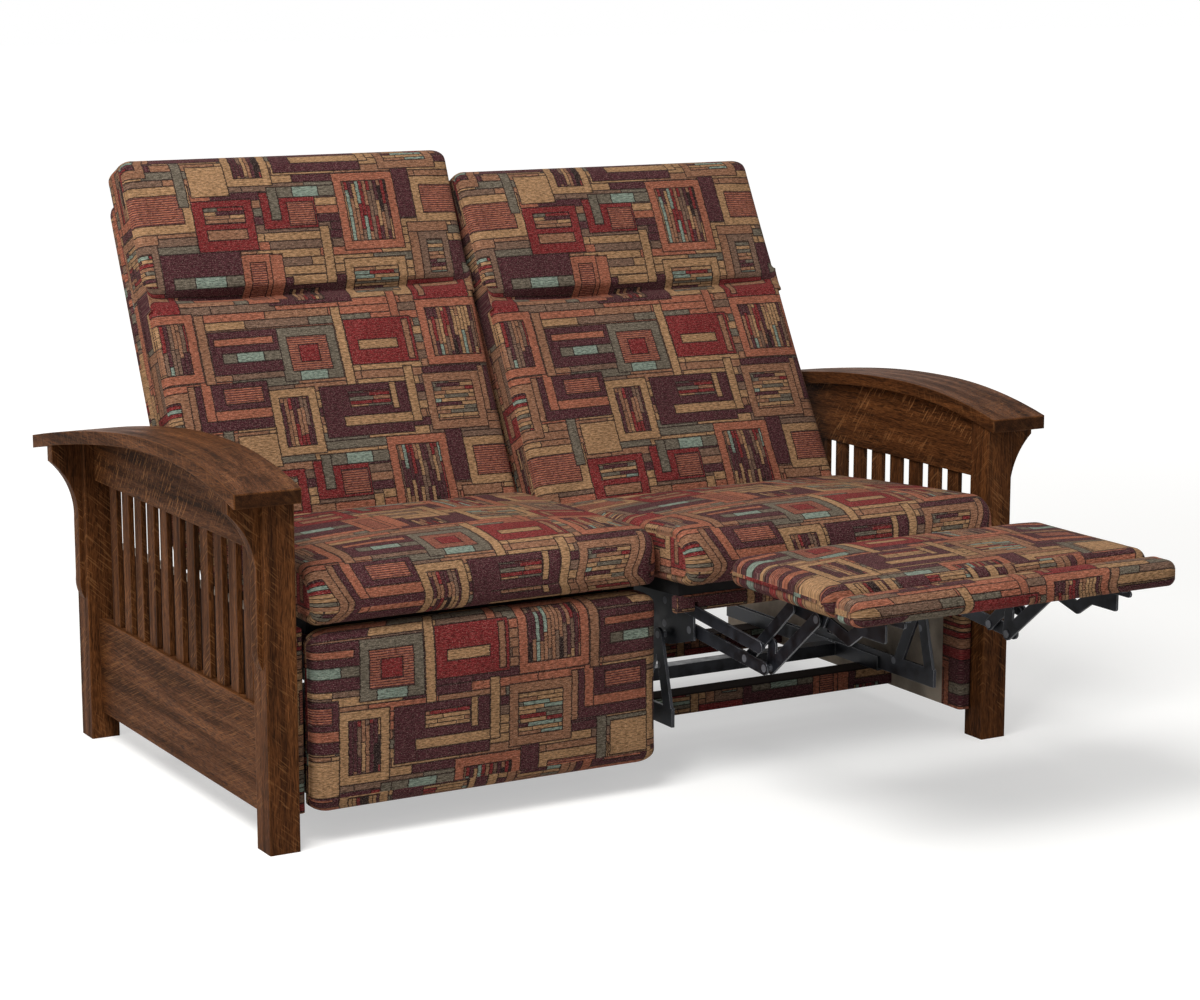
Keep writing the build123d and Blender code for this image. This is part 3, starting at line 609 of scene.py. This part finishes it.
patchwork = makeCloth("patchworkChenille", clothMap)
patchworkOnBoards = makeCloth("patchworkOnBoards", boardMap)
patchworkOnPanels = makeCloth("patchworkOnPanels", boardMap, frontOnly)
patchworkWithPaintedShadeOnTops = makeCloth("patchworkWithPaintedShadeOnTops", boardMap, paintedShadeOnTops)
blackLining = makeLining("blackLining", deckLining)
print("cloth woven")

# Stained oak

oak = {
    "dark": shade(34, 19, 10),
    "middle": shade(74, 43, 22),
    "light": shade(102, 62, 33),
    "fleck": shade(160, 110, 68),
    # lighter colour of the rounded edges: partly edge wear, partly a painted highlight
    "rubbedAndHighlitColour": shade(112, 72, 42),
    "roughness": (0.63, 0.49),      # of the dark bands and of the light ones
    "shine": 0.035,
    "edgeRound": 2.6,               # millimetres
    "fibreTone": (0.55, 1.5),
    "poreShare": 0.7,
    "endShare": 0.6,                # how much darker the end grain is
    "rubAndHighlightShare": (0.3, 0.8),
    "bump": (0.4, 0.6),
    "bow": (0.03, 0.02),            # metres that the sway bends the grain
    # How often each pattern changes in a metre, along the grain and across it
    "sway": (2.5, 9.0),
    "bands": (2.4, 55.0),
    "fibres": (60.0, 640.0),
    "pores": (30.0, 420.0),
    "rays": (260.0, 34.0),
    "patchy": (6.0, 14.0),
}


def grainNoise(tree, place, pattern, detail, rough=0.5, distortion=0.0):
    along, across = oak[pattern]
    drawn = vectorMaths(tree, "MULTIPLY", place, (along, across, across))
    return noise(tree, drawn, 1.0, detail, rough, distortion)


# Oak with its grain along one axis: slow colour bands, fine fibres, long dark pores and light ray flecks
# across the grain. A fleck is where a noise, drawn out across the grain and sheared by the lean, is high.
def makeOak(name, grain, salt, rays, lean):
    material, tree, skin = newMaterial(name)
    x, y, z = parted(tree, objectPlace(tree))
    along, sideA, sideB = {"y": (y, x, z), "z": (z, x, y)}[grain]
    place = vectorMaths(tree, "ADD", joined(tree, along, sideA, sideB), (salt, salt * 2, salt * 3))
    sway = grainNoise(tree, place, "sway", 2.0)
    bow = joined(tree, 0.0, *[maths(tree, "MULTIPLY", sway, most) for most in oak["bow"]])
    bent = vectorMaths(tree, "ADD", place, bow)
    bands = grainNoise(tree, bent, "bands", 3.0, 0.6)
    fibres = grainNoise(tree, bent, "fibres", 2.0, 0.7)
    pores = grainNoise(tree, bent, "pores", 1.0, 0.6)
    shear = maths(tree, "MULTIPLY", maths(tree, "ADD", sideA, sideB), lean)
    sheared = joined(tree, maths(tree, "ADD", along, shear), sideA, sideB)
    streaks = grainNoise(tree, sheared, "rays", 1.0, 0.5, 0.5)
    patchy = grainNoise(tree, bent, "patchy", 2.0)

    colour = ramp(tree, bands, [(0.26, oak["dark"]), (0.5, oak["middle"]), (0.76, oak["light"])])
    colour = dimmed(tree, colour, spread(tree, fibres, 0.32, 0.68, *oak["fibreTone"]))
    poreMask = spread(tree, pores, 0.44, 0.34)
    colour = blended(tree, maths(tree, "MULTIPLY", poreMask, oak["poreShare"]), colour, oak["dark"])
    rayMask = maths(tree, "MULTIPLY", spread(tree, streaks, 0.57, 0.66), spread(tree, patchy, 0.38, 0.6))
    colour = blended(tree, maths(tree, "MULTIPLY", rayMask, rays), colour, oak["fleck"])
    facing = parted(tree, faceNormal(tree))[{"y": 1, "z": 2}[grain]]
    endGrain = spread(tree, maths(tree, "ABSOLUTE", facing), 0.8, 0.95, 0.0, oak["endShare"])
    colour = blended(tree, endGrain, colour, oak["dark"])
    # Rounded edges are painted lighter in patches: partly edge wear, partly a painted highlight along the edges
    rounded, edge = roundedEdges(tree, oak["edgeRound"], 6, 0.9)
    edgeLightAndRub = maths(tree, "MULTIPLY", edge, spread(tree, patchy, 0.3, 0.7, *oak["rubAndHighlightShare"]))
    tree.links.new(blended(tree, edgeLightAndRub, colour, oak["rubbedAndHighlitColour"]), skin.inputs["Base Color"])
    tree.links.new(spread(tree, bands, 0.3, 0.7, *oak["roughness"]), skin.inputs["Roughness"])
    setSkin(skin, {"Specular IOR Level": oak["shine"]})
    addBump(tree, skin, oak["bump"], maths(tree, "SUBTRACT", 1.0, poreMask), rounded)
    return material


oakUpright = makeOak("oakUpright", "z", salt=0.37, rays=0.3, lean=0.9)
oakApron = makeOak("oakApron", "y", salt=1.91, rays=0.62, lean=0.75)
oakRail = makeOak("oakRail", "y", salt=4.13, rays=0.32, lean=2.6)
oakArm = makeOak("oakArm", "y", salt=2.77, rays=0.16, lean=-0.35)

# Painted link steel

steel = {
    "paint": (shade(18, 19, 23), shade(40, 42, 49)),
    # lighter colour of the rounded edges: partly worn paint, partly a painted highlight
    "rubbedAndHighlitColour": shade(156, 158, 162),
    "head": shade(118, 120, 126),
    "headShare": 0.8,
    "headRadius": 7.2,      # millimetres
    "headEdge": 0.4,
    "edgeRound": 1.2,
    "rubAndHighlightShare": (0.35, 0.95),
    "roughness": (0.3, 0.5),
    "bump": (0.25, 0.3),
    "skin": {"Metallic": 0.35},
}


# 1 within the head's radius of the nearest link joint of either seat, measured across the joints'
# common direction
def rivetHeads(tree, place):
    flat = vectorMaths(tree, "MULTIPLY", place, (0.0, 1.0, 1.0))
    nearest = 1.0
    for joint in frame["joints"]:
        if joint["type"] == "hinge":
            pivot = (0.0, joint["pos_m"][1], joint["pos_m"][2])
            nearest = maths(tree, "MINIMUM", nearest, vectorValue(tree, "DISTANCE", flat, pivot))
    radius = steel["headRadius"] * mm
    return spread(tree, nearest, radius, radius - steel["headEdge"] * mm)


def makeSteel(name):
    material, tree, skin = newMaterial(name)
    place = objectPlace(tree)
    cloud = noise(tree, place, 38.0, 4.0, 0.6)
    grit = noise(tree, place, 900.0, 2.0)
    # Rounded edges are painted lighter where the cloud allows: partly worn paint, partly a painted highlight along
    # the edges
    rounded, edge = roundedEdges(tree, steel["edgeRound"], 4, 0.88)
    edge = maths(tree, "MULTIPLY", edge, spread(tree, cloud, 0.35, 0.65, *steel["rubAndHighlightShare"]))
    tint = blended(tree, spread(tree, cloud, 0.3, 0.7), *steel["paint"])
    heads = maths(tree, "MULTIPLY", rivetHeads(tree, place), steel["headShare"])
    tint = blended(tree, heads, tint, steel["head"])
    tree.links.new(blended(tree, edge, tint, steel["rubbedAndHighlitColour"]), skin.inputs["Base Color"])
    tree.links.new(spread(tree, cloud, 0.3, 0.7, *steel["roughness"]), skin.inputs["Roughness"])
    setSkin(skin, steel["skin"])
    addBump(tree, skin, steel["bump"], grit, rounded)
    return material


blackSteel = makeSteel("blackLinkSteel")


def dress(material, *nodes):
    for name in nodes:
        data = frame["nodes"][name].data
        data.materials.clear()
        data.materials.append(material)


# What each side's solids are made of, then the solids that both sides share
for side in sides:
    for material, parts in (
            (oakUpright, ("front_post", "rear_post", "slats", "front_corbel", "rear_corbel")),
            (oakApron, ("top_rail",)),
            (oakRail, ("bottom_rail",)),
            (oakArm, ("arm_board",)),
            (patchworkOnPanels, ("side_panel",)),
            (patchworkOnBoards, ("front_rail",)),
            (blackSteel, ("slide_frame", "seat_frame", "back_brackets", "thigh_links", "lift_links",
                          "shank_links", "stay_links", "footrest_brackets", "flip_brackets",
                          "drive_links")),
            (blackLining, ("seat_deck", "footrest_board", "flip_board"))):
        dress(material, *[f"{side}_{part}" for part in parts])
dress(patchworkWithPaintedShadeOnTops, "front_stretcher", "rear_stretcher")
dress(blackSteel, "base_frame")
print("wood and steel finished")

# Soft pieces: a side profile carried across the seat, its ends rolled in to the side walls.
# A profile is given by depth, from the front backwards, and rise, along the piece.

puff = {
    "zeroBehindJoint": 0.345,   # depths count from a line this far behind the footrest links' top joint
    "cell": 0.009,              # distance between points before the last refining
    "rollRows": 4,
    "wallRows": (0.03, 0.10, 0.22, 0.38, 0.58, 0.78, 0.93),     # shares of the way to the spine
    "wallMapUp": 0.17,
    "crownFlat": 2.6,           # a higher power keeps a crown flat for longer
    "crownPower": 0.8,
    "drawInPower": 0.7,
    "seamHold": 0.6,            # 1 holds a point of the cloth where it is
    "pressure": 4.0,
    "frames": 20,
    "sideways": 0.25,
    "outMost": 0.995,           # share of the points that stay under the cap unclipped
    "inMost": 0.0008,
    "cloth": {"quality": 6, "mass": 0.3, "tension_stiffness": 12, "compression_stiffness": 12,
              "shear_stiffness": 4, "bending_stiffness": 1.0},
}
zeroDepth = float(joints["left_footrest_lift"]["pos_m"][1]) + puff["zeroBehindJoint"]


# Polygon with its corners rounded: each corner is an arc tangent to both sides, and points are spaced
# evenly. Gives the points, and for each the number of its side with the share along that side. On the arc
# of corner n the number is -1 - n.
def roundedLoop(corners, radii, cell):
    corners = np.array(corners, float)
    count = len(corners)
    runs, labels, shares, ends = [], [], [], []
    for i in range(count):
        before, here, after = corners[i - 1], corners[i], corners[(i + 1) % count]
        a, b = before - here, after - here
        a, b = a / np.linalg.norm(a), b / np.linalg.norm(b)
        half = math.acos(np.clip(a @ b, -1, 1)) / 2
        cut = radii[i] / math.tan(half)
        centre = here + (a + b) / np.linalg.norm(a + b) * radii[i] / math.sin(half)
        ends.append((here + a * cut, here + b * cut, centre))
    for i in range(count):
        start, stop, centre = ends[i]
        u, v = start - centre, stop - centre
        turn = math.atan2(u[0] * v[1] - u[1] * v[0], u @ v)
        steps = max(3, int(round(abs(turn) * radii[i] / cell)))
        t = np.arange(steps)[:, None] / steps * turn
        cos, sin = np.cos(t), np.sin(t)
        runs.append(centre + np.hstack([u[0] * cos - u[1] * sin, u[0] * sin + u[1] * cos]))
        labels.append(np.full(steps, -1 - i))
        shares.append(np.zeros(steps))
        onward = ends[(i + 1) % count][0] - stop
        steps = max(1, int(round(np.linalg.norm(onward) / cell)))
        t = np.arange(steps) / steps
        runs.append(stop + onward * t[:, None])
        labels.append(np.full(steps, i))
        shares.append(t)
    return np.vstack(runs), np.concatenate(labels), np.concatenate(shares)


# Normals of a closed loop that runs counterclockwise: the tangent turned a quarter clockwise.
def outward(loop):
    tangent = np.roll(loop, -1, 0) - np.roll(loop, 1, 0)
    tangent /= np.linalg.norm(tangent, axis=1)[:, None]
    return np.stack([tangent[:, 1], -tangent[:, 0]], 1)


# Nearest points of the segment from a to b.
def towards(loop, a, b):
    a, b = np.array(a), np.array(b)
    t = np.clip(((loop - a) @ (b - a)) / ((b - a) @ (b - a)), 0, 1)
    return a + t[:, None] * (b - a)


# Crown of each side: its height times the sine of the share along it, to the crown's power.
def bulge(side, share, amounts):
    crown = np.zeros(len(side))
    for number, amount in amounts.items():
        on = side == number
        crown[on] = amount * np.abs(np.sin(math.pi * share[on])) ** puff["crownPower"]
    return crown


# Grid of x, depth and rise: rows across the seat, columns round the profile. Between the rolls a row is
# the loop plus its crown times how far the row is from the ends. On each roll the loop shrinks along its
# normals on a quarter circle, with a small groove at the seam, and on the side wall it shrinks to the
# spine.
def pillowGrid(loop, crown, p):
    normals = outward(loop)
    core = towards(loop, *p["spine"])
    roll, half, seam = p["roll"], p["half"], p["seam"]
    flat = half - roll
    count = max(8, int(round(2 * flat / puff["cell"])))
    across = np.linspace(-flat, flat, count + 1)
    turns = np.linspace(0, math.pi / 2, puff["rollRows"] + 1)[1:]
    shrinks = np.array(puff["wallRows"])
    rise = (1 - np.abs(across / half) ** puff["crownFlat"]) ** puff["crownPower"]
    main = loop[None] + normals[None] * (crown[None, :] * rise[:, None])[..., None]
    rolled = loop[None] - normals[None] * (roll * (1 - np.cos(turns)))[:, None, None]
    groove = rolled[-1]
    wall = groove[None] + (core - groove)[None] * shrinks[:, None, None]
    xRoll = flat + roll * np.sin(turns)
    xRoll[-1] -= seam
    ends = np.concatenate([rolled, wall])
    xEnds = np.concatenate([xRoll, np.full(len(shrinks), half)])
    rows = np.concatenate([ends[::-1], main, ends])
    xs = np.concatenate([-xEnds[::-1], across, xEnds])
    grid = np.concatenate([np.broadcast_to(xs[:, None, None], (*rows.shape[:2], 1)), rows], -1)
    onWall = np.ones(len(xs), bool)
    onWall[len(shrinks):-len(shrinks)] = False
    return grid, onWall


# The width is less at both ends of the piece, by a quarter circle, and a little less half way, where the
# sides pull in.
def narrowed(grid, p):
    axis, low, high = p["lengthwise"]
    along = grid[..., axis]
    roundLow, roundHigh = p["cornerRounds"]
    nearLow = np.clip(roundLow - (along - low), 0, roundLow)
    nearHigh = np.clip(roundHigh - (high - along), 0, roundHigh)
    cut = roundLow - np.sqrt(roundLow ** 2 - nearLow ** 2)
    cut = cut + roundHigh - np.sqrt(roundHigh ** 2 - nearHigh ** 2)
    share = np.clip((along - low) / (high - low), 0, 1)
    cut = cut + p["drawIn"] * np.sin(math.pi * share) ** puff["drawInPower"]
    grid[..., 0] *= 1 - cut / p["half"]
    return grid


# Depth and rise turned by the lean and moved to the foot, x moved to the seat's middle.
def placed(grid, p):
    a = math.radians(p["lean"])
    x, depth, rise = grid[..., 0], grid[..., 1], grid[..., 2]
    y = p["foot"][0] + zeroDepth + depth * math.cos(a) + rise * math.sin(a)
    z = p["foot"][1] + rise * math.cos(a) - depth * math.sin(a)
    return np.stack([x + seat["centre"], y, z], -1)


# Map in metres: across by x and up by arc length from the front edge; on a side wall by depth and rise.
def clothCoordinates(grid, p):
    middle = grid[len(grid) // 2][:, 1:]
    steps = np.linalg.norm(np.roll(middle, -1, 0) - middle, axis=1)
    length = np.concatenate([[0], np.cumsum(steps)])
    rows, columns = grid.shape[:2]
    startU, startV = p["mapStart"]
    u = np.repeat(grid[:, :1, 0], columns + 1, 1) + startU
    v = np.repeat(startV - length[None], rows, 0)
    closed = np.concatenate([grid, grid[:, :1]], 1)
    sign = np.sign(closed[..., 0])
    wallU = startU + sign * (p["half"] + closed[..., 1])
    wallV = startV + puff["wallMapUp"] + closed[..., 2]
    return np.stack([u, v, wallU, wallV], -1)


# Quads between neighbouring rows and columns, the columns joined round, and one cap at each end.
def gridMesh(name, grid, maps, onWall):
    rows, columns = grid.shape[:2]
    index = np.arange(rows * columns).reshape(rows, columns)
    after = np.roll(index, -1, 1)
    quads = np.stack([index[:-1], after[:-1], after[1:], index[1:]], -1).reshape(-1, 4)
    i = np.repeat(np.arange(rows - 1), columns)
    j = np.tile(np.arange(columns), rows - 1)
    corners = maps[np.stack([i, i, i + 1, i + 1], 1), np.stack([j, j + 1, j + 1, j], 1)]
    corners = np.where(onWall[i][:, None, None], corners[..., 2:], corners[..., :2]).reshape(-1, 2)
    capMaps = [maps[0, :-1, 2:][::-1], maps[-1, :-1, 2:]]
    data = bpy.data.meshes.new(name)
    caps = [index[0][::-1].tolist(), index[-1].tolist()]
    data.from_pydata(grid.reshape(-1, 3).tolist(), [], quads.tolist() + caps)
    layer = data.uv_layers.new(name="cloth")
    layer.data.foreach_set("uv", np.concatenate([corners, *capMaps]).astype(np.float32).ravel())
    data.polygons.foreach_set("use_smooth", np.ones(len(data.polygons), bool))
    data.update()
    piece = bpy.data.objects.new(name, data)
    bpy.context.scene.collection.objects.link(piece)
    return piece


def points(piece):
    co = np.empty(len(piece.data.vertices) * 3, np.float32)
    piece.data.vertices.foreach_get("co", co)
    return co.reshape(-1, 3).astype(float)


# Normals of a grid closed round its columns: the cross product of both differences.
def gridNormals(grid):
    alongRows = np.gradient(grid, axis=0)
    alongColumns = np.roll(grid, -1, 1) - np.roll(grid, 1, 1)
    normal = np.cross(alongColumns, alongRows)
    return normal / np.maximum(np.linalg.norm(normal, axis=-1, keepdims=True), 1e-12)


# Cloth simulation under inner pressure. A held point stays. The movement is scaled so that no point goes
# further out than the cap, and along the surface only a part of it is kept, so that the piece keeps its
# size.
def inflate(name, grid, maps, onWall, held, cap):
    form = gridMesh(name + "_form", grid, maps, onWall)
    group = form.vertex_groups.new(name="held")
    for level in (puff["seamHold"], 1.0):
        chosen = np.nonzero(np.isclose(held.ravel(), level))[0]
        group.add(chosen.tolist(), level, "REPLACE")
    modifier = form.modifiers.new("stuffing", "CLOTH")
    settings = modifier.settings
    for setting, value in puff["cloth"].items():
        setattr(settings, setting, value)
    settings.use_pressure = True
    settings.uniform_pressure_force = puff["pressure"]
    settings.effector_weights.gravity = 0
    settings.vertex_group_mass = "held"
    modifier.collision_settings.use_collision = False
    modifier.point_cache.frame_start = 1
    modifier.point_cache.frame_end = puff["frames"]
    scene = bpy.context.scene
    for number in range(1, puff["frames"] + 1):
        scene.frame_set(number)
    moved = points(form.evaluated_get(bpy.context.evaluated_depsgraph_get())).reshape(grid.shape)
    bpy.data.objects.remove(form)
    scene.frame_set(1)
    normals = gridNormals(grid)
    shift = moved - grid
    out = (shift * normals).sum(-1, keepdims=True)
    sideways = shift - out * normals
    scale = cap / max(np.quantile(out, puff["outMost"]), cap)
    print(f"  {name} stuffed, out by {1000 * out.max():.1f} mm before the cap of {1000 * cap:.0f} mm")
    swelled = normals * np.clip(out * scale, -puff["inMost"], cap)
    return grid + swelled + sideways * scale * puff["sideways"]


# Twice as many rows: each new one lies between two on the smooth curve through the four nearest.
def between(values):
    here, after = values[:-1], values[1:]
    before = np.concatenate([values[:1], values[:-2]])
    later = np.concatenate([values[2:], values[-1:]])
    out = np.empty((2 * len(values) - 1, *values.shape[1:]))
    out[0::2], out[1::2] = values, (9 * (here + after) - before - later) / 16
    return out


def betweenRound(values):
    before, after, later = np.roll(values, 1, 0), np.roll(values, -1, 0), np.roll(values, -2, 0)
    out = np.empty((2 * len(values), *values.shape[1:]))
    out[0::2], out[1::2] = values, (9 * (values + after) - before - later) / 16
    return out


def refined(grid):
    return betweenRound(between(grid).swapaxes(0, 1)).swapaxes(0, 1)


# A piece is given by its profile's corners and their radii, each side's crown by the side's number, half its
# width, the roll and the seam's groove at its ends, the spine that its walls shrink to, the axis and reach
# along which its width narrows, its foot and lean, the sides and arcs that the simulation holds, and the
# cap on the movement.
def makePiece(name, p):
    loop, side, share = roundedLoop(p["corners"], p["radii"], puff["cell"])
    grid, onWall = pillowGrid(loop, bulge(side, share, p["crowns"]), p)
    maps = clothCoordinates(grid, p)
    if "reshape" in p:
        grid = p["reshape"](grid, side)
    grid = placed(narrowed(grid, p), p)
    held = np.zeros(grid.shape[:2])
    seamRows = np.nonzero(np.diff(onWall.astype(int)))[0]
    held[seamRows] = held[seamRows + 1] = puff["seamHold"]
    for number in p["held"]:
        held[:, side == number] = 1.0
    held[[0, -1]] = 1.0
    grid = inflate(name, grid, maps, onWall, held, p["cap"])
    grid = refined(grid)
    maps = between(between(maps).swapaxes(0, 1)).swapaxes(0, 1)
    onWall = np.concatenate([np.repeat(onWall[:-1] & onWall[1:], 2), onWall[-1:]])
    piece = gridMesh(name, grid, maps, onWall)
    piece.data.materials.append(patchwork)
    if "lined" in p:
        lineBack(piece, grid, side, p)
    return piece


# Faces of one side, except for the cloth folded over its edge, take the black lining.
def lineBack(piece, grid, side, p):
    number, margin = p["lined"]
    x = grid[..., 0] - seat["centre"]
    rise = grid[..., 2] - grid[..., 2].min()
    inner = np.repeat(side == number, 2)[None] & (np.abs(x) < p["half"] - margin)
    inner &= (rise > margin) & (rise < np.ptp(grid[..., 2]) - margin)
    faces = inner[:-1] & inner[1:]
    faces &= np.roll(faces, -1, 1)
    chosen = np.concatenate([faces.ravel(), [False, False]]).astype(np.int32)
    piece.data.materials.append(blackLining)
    piece.data.polygons.foreach_set("material_index", chosen)


# The fold is deepest over the left third, and fades towards both side seams.
def foldedBack(grid, side):
    inFold = np.isin(side, (4, 5, -5, -6, -7))      # the fold's two sides and its three arcs
    share = (grid[..., 0] / seat["half"] + 1) / 2
    least = back["foldLeast"]
    deep = least + (1 - least) * np.exp(-((share - back["foldPlace"]) / back["foldReach"]) ** 2)
    fade = np.clip(1 - np.abs(2 * share - 1) ** back["foldFlat"], back["foldEnds"], 1)
    depth = grid[..., 1]
    grid[..., 1] = np.where(inFold[None] & (depth > 0), depth * (deep * fade), depth)
    return grid


# Outline of an upright pad; its sides in order are the bottom, back, top and front
def slab(thickness, length):
    return [(0, 0), (thickness, 0), (thickness, length), (0, length)]


seat = {
    "half": 0.336,              # metres, as all sizes
    "centre": -0.340,
    "front": -0.447,
    "low": 0.3763,
    "high": 0.1017,             # thickness at the front
    "rearLow": 0.483,
    "rearHigh": 0.521,
    "rearRise": 0.0897,
    "crown": 0.009,
}
seatCushion = makePiece("left_seatCushion", {
    "corners": [(0, 0), (seat["rearLow"], 0), (seat["rearHigh"], seat["rearRise"]), (0, seat["high"])],
    "radii": [0.026, 0.012, 0.018, 0.062],
    "crowns": {2: seat["crown"], 3: 0.002},
    "half": seat["half"], "roll": 0.016, "seam": 0.0035, "spine": [(0.05, 0.051), (0.46, 0.045)],
    "lengthwise": (1, 0.0, 0.52), "cornerRounds": (0.030, 0.020), "drawIn": 0.004,
    "foot": (seat["front"], seat["low"]), "lean": 0.0,
    "held": [0], "cap": 0.009, "mapStart": (0.1, 0.924),
})

back = {
    "foot": (0.0543, 0.400),
    "lean": 25.0,               # degrees
    "thickness": 0.092,
    "length": 0.776,
    "fold": 0.496,              # height of the sewn fold, then its depth and half its width
    "foldDepth": 0.030,
    "foldLip": 0.016,
    "foldPlace": 0.3,           # share of the width where it is deepest
    "foldReach": 0.2,
    "foldLeast": 0.55,          # share of the depth far from there, before it fades towards the seams
    "foldFlat": 8,
    "foldEnds": 0.1,
    "lumbarCrown": 0.004,
    "headCrown": 0.002,
    "topCrown": 0.006,
}
lip, fold, deepest = back["foldLip"], back["fold"], back["foldDepth"]
backCushion = makePiece("left_backCushion", {
    "corners": slab(back["thickness"], back["length"]) + [(0, fold + lip), (deepest, fold), (0, fold - lip)],
    "radii": [0.030, 0.008, 0.022, 0.034, 0.012, 0.0015, 0.012],
    "crowns": {3: back["headCrown"], 6: back["lumbarCrown"], 2: back["topCrown"]},
    "half": seat["half"], "roll": 0.014, "seam": 0.003, "spine": [(0.046, 0.05), (0.046, 0.73)],
    "lengthwise": (2, 0.0, back["length"]), "cornerRounds": (0.020, 0.022), "drawIn": 0.004,
    "foot": back["foot"], "lean": back["lean"],
    "held": [1, 4, 5, -6], "cap": 0.011, "mapStart": (0.1, 1.3), "reshape": foldedBack,
})

cover = {"gap": 0.0004, "thickness": 0.031, "low": 0.024, "high": 0.726, "half": 0.331}
lean = math.radians(back["lean"])
coverFront = back["thickness"] + cover["gap"]
coverLength = cover["high"] - cover["low"]
coverFoot = (back["foot"][0] + coverFront * math.cos(lean) + cover["low"] * math.sin(lean),
             back["foot"][1] + cover["low"] * math.cos(lean) - coverFront * math.sin(lean))
backCover = makePiece("left_backCover", {
    "corners": slab(cover["thickness"], coverLength),
    "radii": [0.004, 0.012, 0.012, 0.004],
    "crowns": {},
    "half": cover["half"], "roll": 0.010, "seam": 0.002, "spine": [(0.016, 0.03), (0.016, 0.67)],
    "lengthwise": (2, 0.0, coverLength), "cornerRounds": (0.004, 0.030), "drawIn": 0.0,
    "foot": coverFoot, "lean": back["lean"],
    "held": [3], "cap": 0.003, "mapStart": (0.3, 0.9),
})

pad = {"front": -0.440, "thickness": 0.0505, "low": 0.053, "length": 0.314, "crown": 0.003}
footPad = makePiece("left_footPad", {
    "corners": slab(pad["thickness"], pad["length"]),
    "radii": [0.026, 0.014, 0.014, 0.026],
    "crowns": {3: pad["crown"]},
    "half": seat["half"], "roll": 0.022, "seam": 0.002, "spine": [(0.026, 0.04), (0.026, 0.27)],
    "lengthwise": (2, 0.0, pad["length"]), "cornerRounds": (0.020, 0.030), "drawIn": 0.002,
    "foot": (pad["front"], pad["low"]), "lean": 0.0,
    "held": [0, 1], "cap": 0.007, "mapStart": (0.25, 0.95), "lined": (1, 0.035),
})

flip = {"front": -0.3775, "thickness": 0.0425, "low": 0.070, "length": 0.076, "crown": 0.001}
flipPad = makePiece("left_flipPad", {
    "corners": slab(flip["thickness"], flip["length"]),
    "radii": [0.012, 0.020, 0.020, 0.012],
    "crowns": {1: flip["crown"]},
    "half": seat["half"], "roll": 0.016, "seam": 0.002, "spine": [(0.021, 0.028), (0.021, 0.048)],
    "lengthwise": (2, 0.0, flip["length"]), "cornerRounds": (0.024, 0.024), "drawIn": 0.0,
    "foot": (flip["front"], flip["low"]), "lean": 0.0,
    "held": [3], "cap": 0.004, "mapStart": (0.25, 0.1), "lined": (3, 0.012),
})
print("cushions shaped")

# The right seat stands open: each piece goes through the left seat's own joints

couplings = {c["joint"]: c["ratio"] for c in frame["record"]["behaviour"]["couplings"]}
liftRange = math.radians(joints["left_footrest_lift"]["range_deg"][1])
apart = joints["right_footrest_lift"]["pos_m"][0] - joints["left_footrest_lift"]["pos_m"][0]


def opened(name, turn=None):
    joint = joints["left_" + name]
    if joint["type"] == "slide":
        return Matrix.Translation(Vector(joint["axis"]) * joint["range_m"][1])
    value = liftRange * couplings.get("left_" + name, 1.0) if turn is None else turn
    pivot = Matrix.Translation(joint["pos_m"])
    return pivot @ Matrix.Rotation(value, 4, Vector(joint["axis"])) @ pivot.inverted()


openSeat = opened("seat_glide") @ opened("seat_tilt")
openBack = openSeat @ opened("back_recline", math.radians(-joints["right_back_recline"]["range_deg"][0]))
openShank = openSeat @ opened("footrest_lift") @ opened("shank_fold")
openRest = openShank @ opened("footrest_turn")
openFlip = openRest @ opened("folding_pad_turn")
acrossTo = Matrix.Translation((apart, 0, 0))


def toRight(piece, name, move):
    other = piece.copy()
    other.data = piece.data.copy()
    other.name = other.data.name = name
    other.data.transform(acrossTo @ move)
    bpy.context.scene.collection.objects.link(other)
    return other


# Piece, its name, body, the solid it replaces, its move to the open seat, and how full its box is
softParts = (
    (seatCushion, "seatCushion", "seat", "seat_cushion", openSeat, 0.7),
    (backCushion, "backCushion", "back", "back_cushion", openBack, 0.7),
    (backCover, "backCover", "back", "back_cover", openBack, 0.8),
    (footPad, "footPad", "footrest", "footrest_pad", openRest, 0.8),
    (flipPad, "flipPad", "folding_pad", "flip_pad", openFlip, 0.8),
)
boards = {"footPad": "footrest_board", "flipPad": "flip_board"}
for piece, name, body, replaced, move, fill in softParts:
    pair = {"left": piece, "right": toRight(piece, "right_" + name, move)}
    for side in sides:
        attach(pair[side], f"{side}_{body}")
        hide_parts(f"{side}_{replaced}")
        if name in boards:
            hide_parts(f"{side}_{boards[name]}")
print("soft pieces carried by both seats")
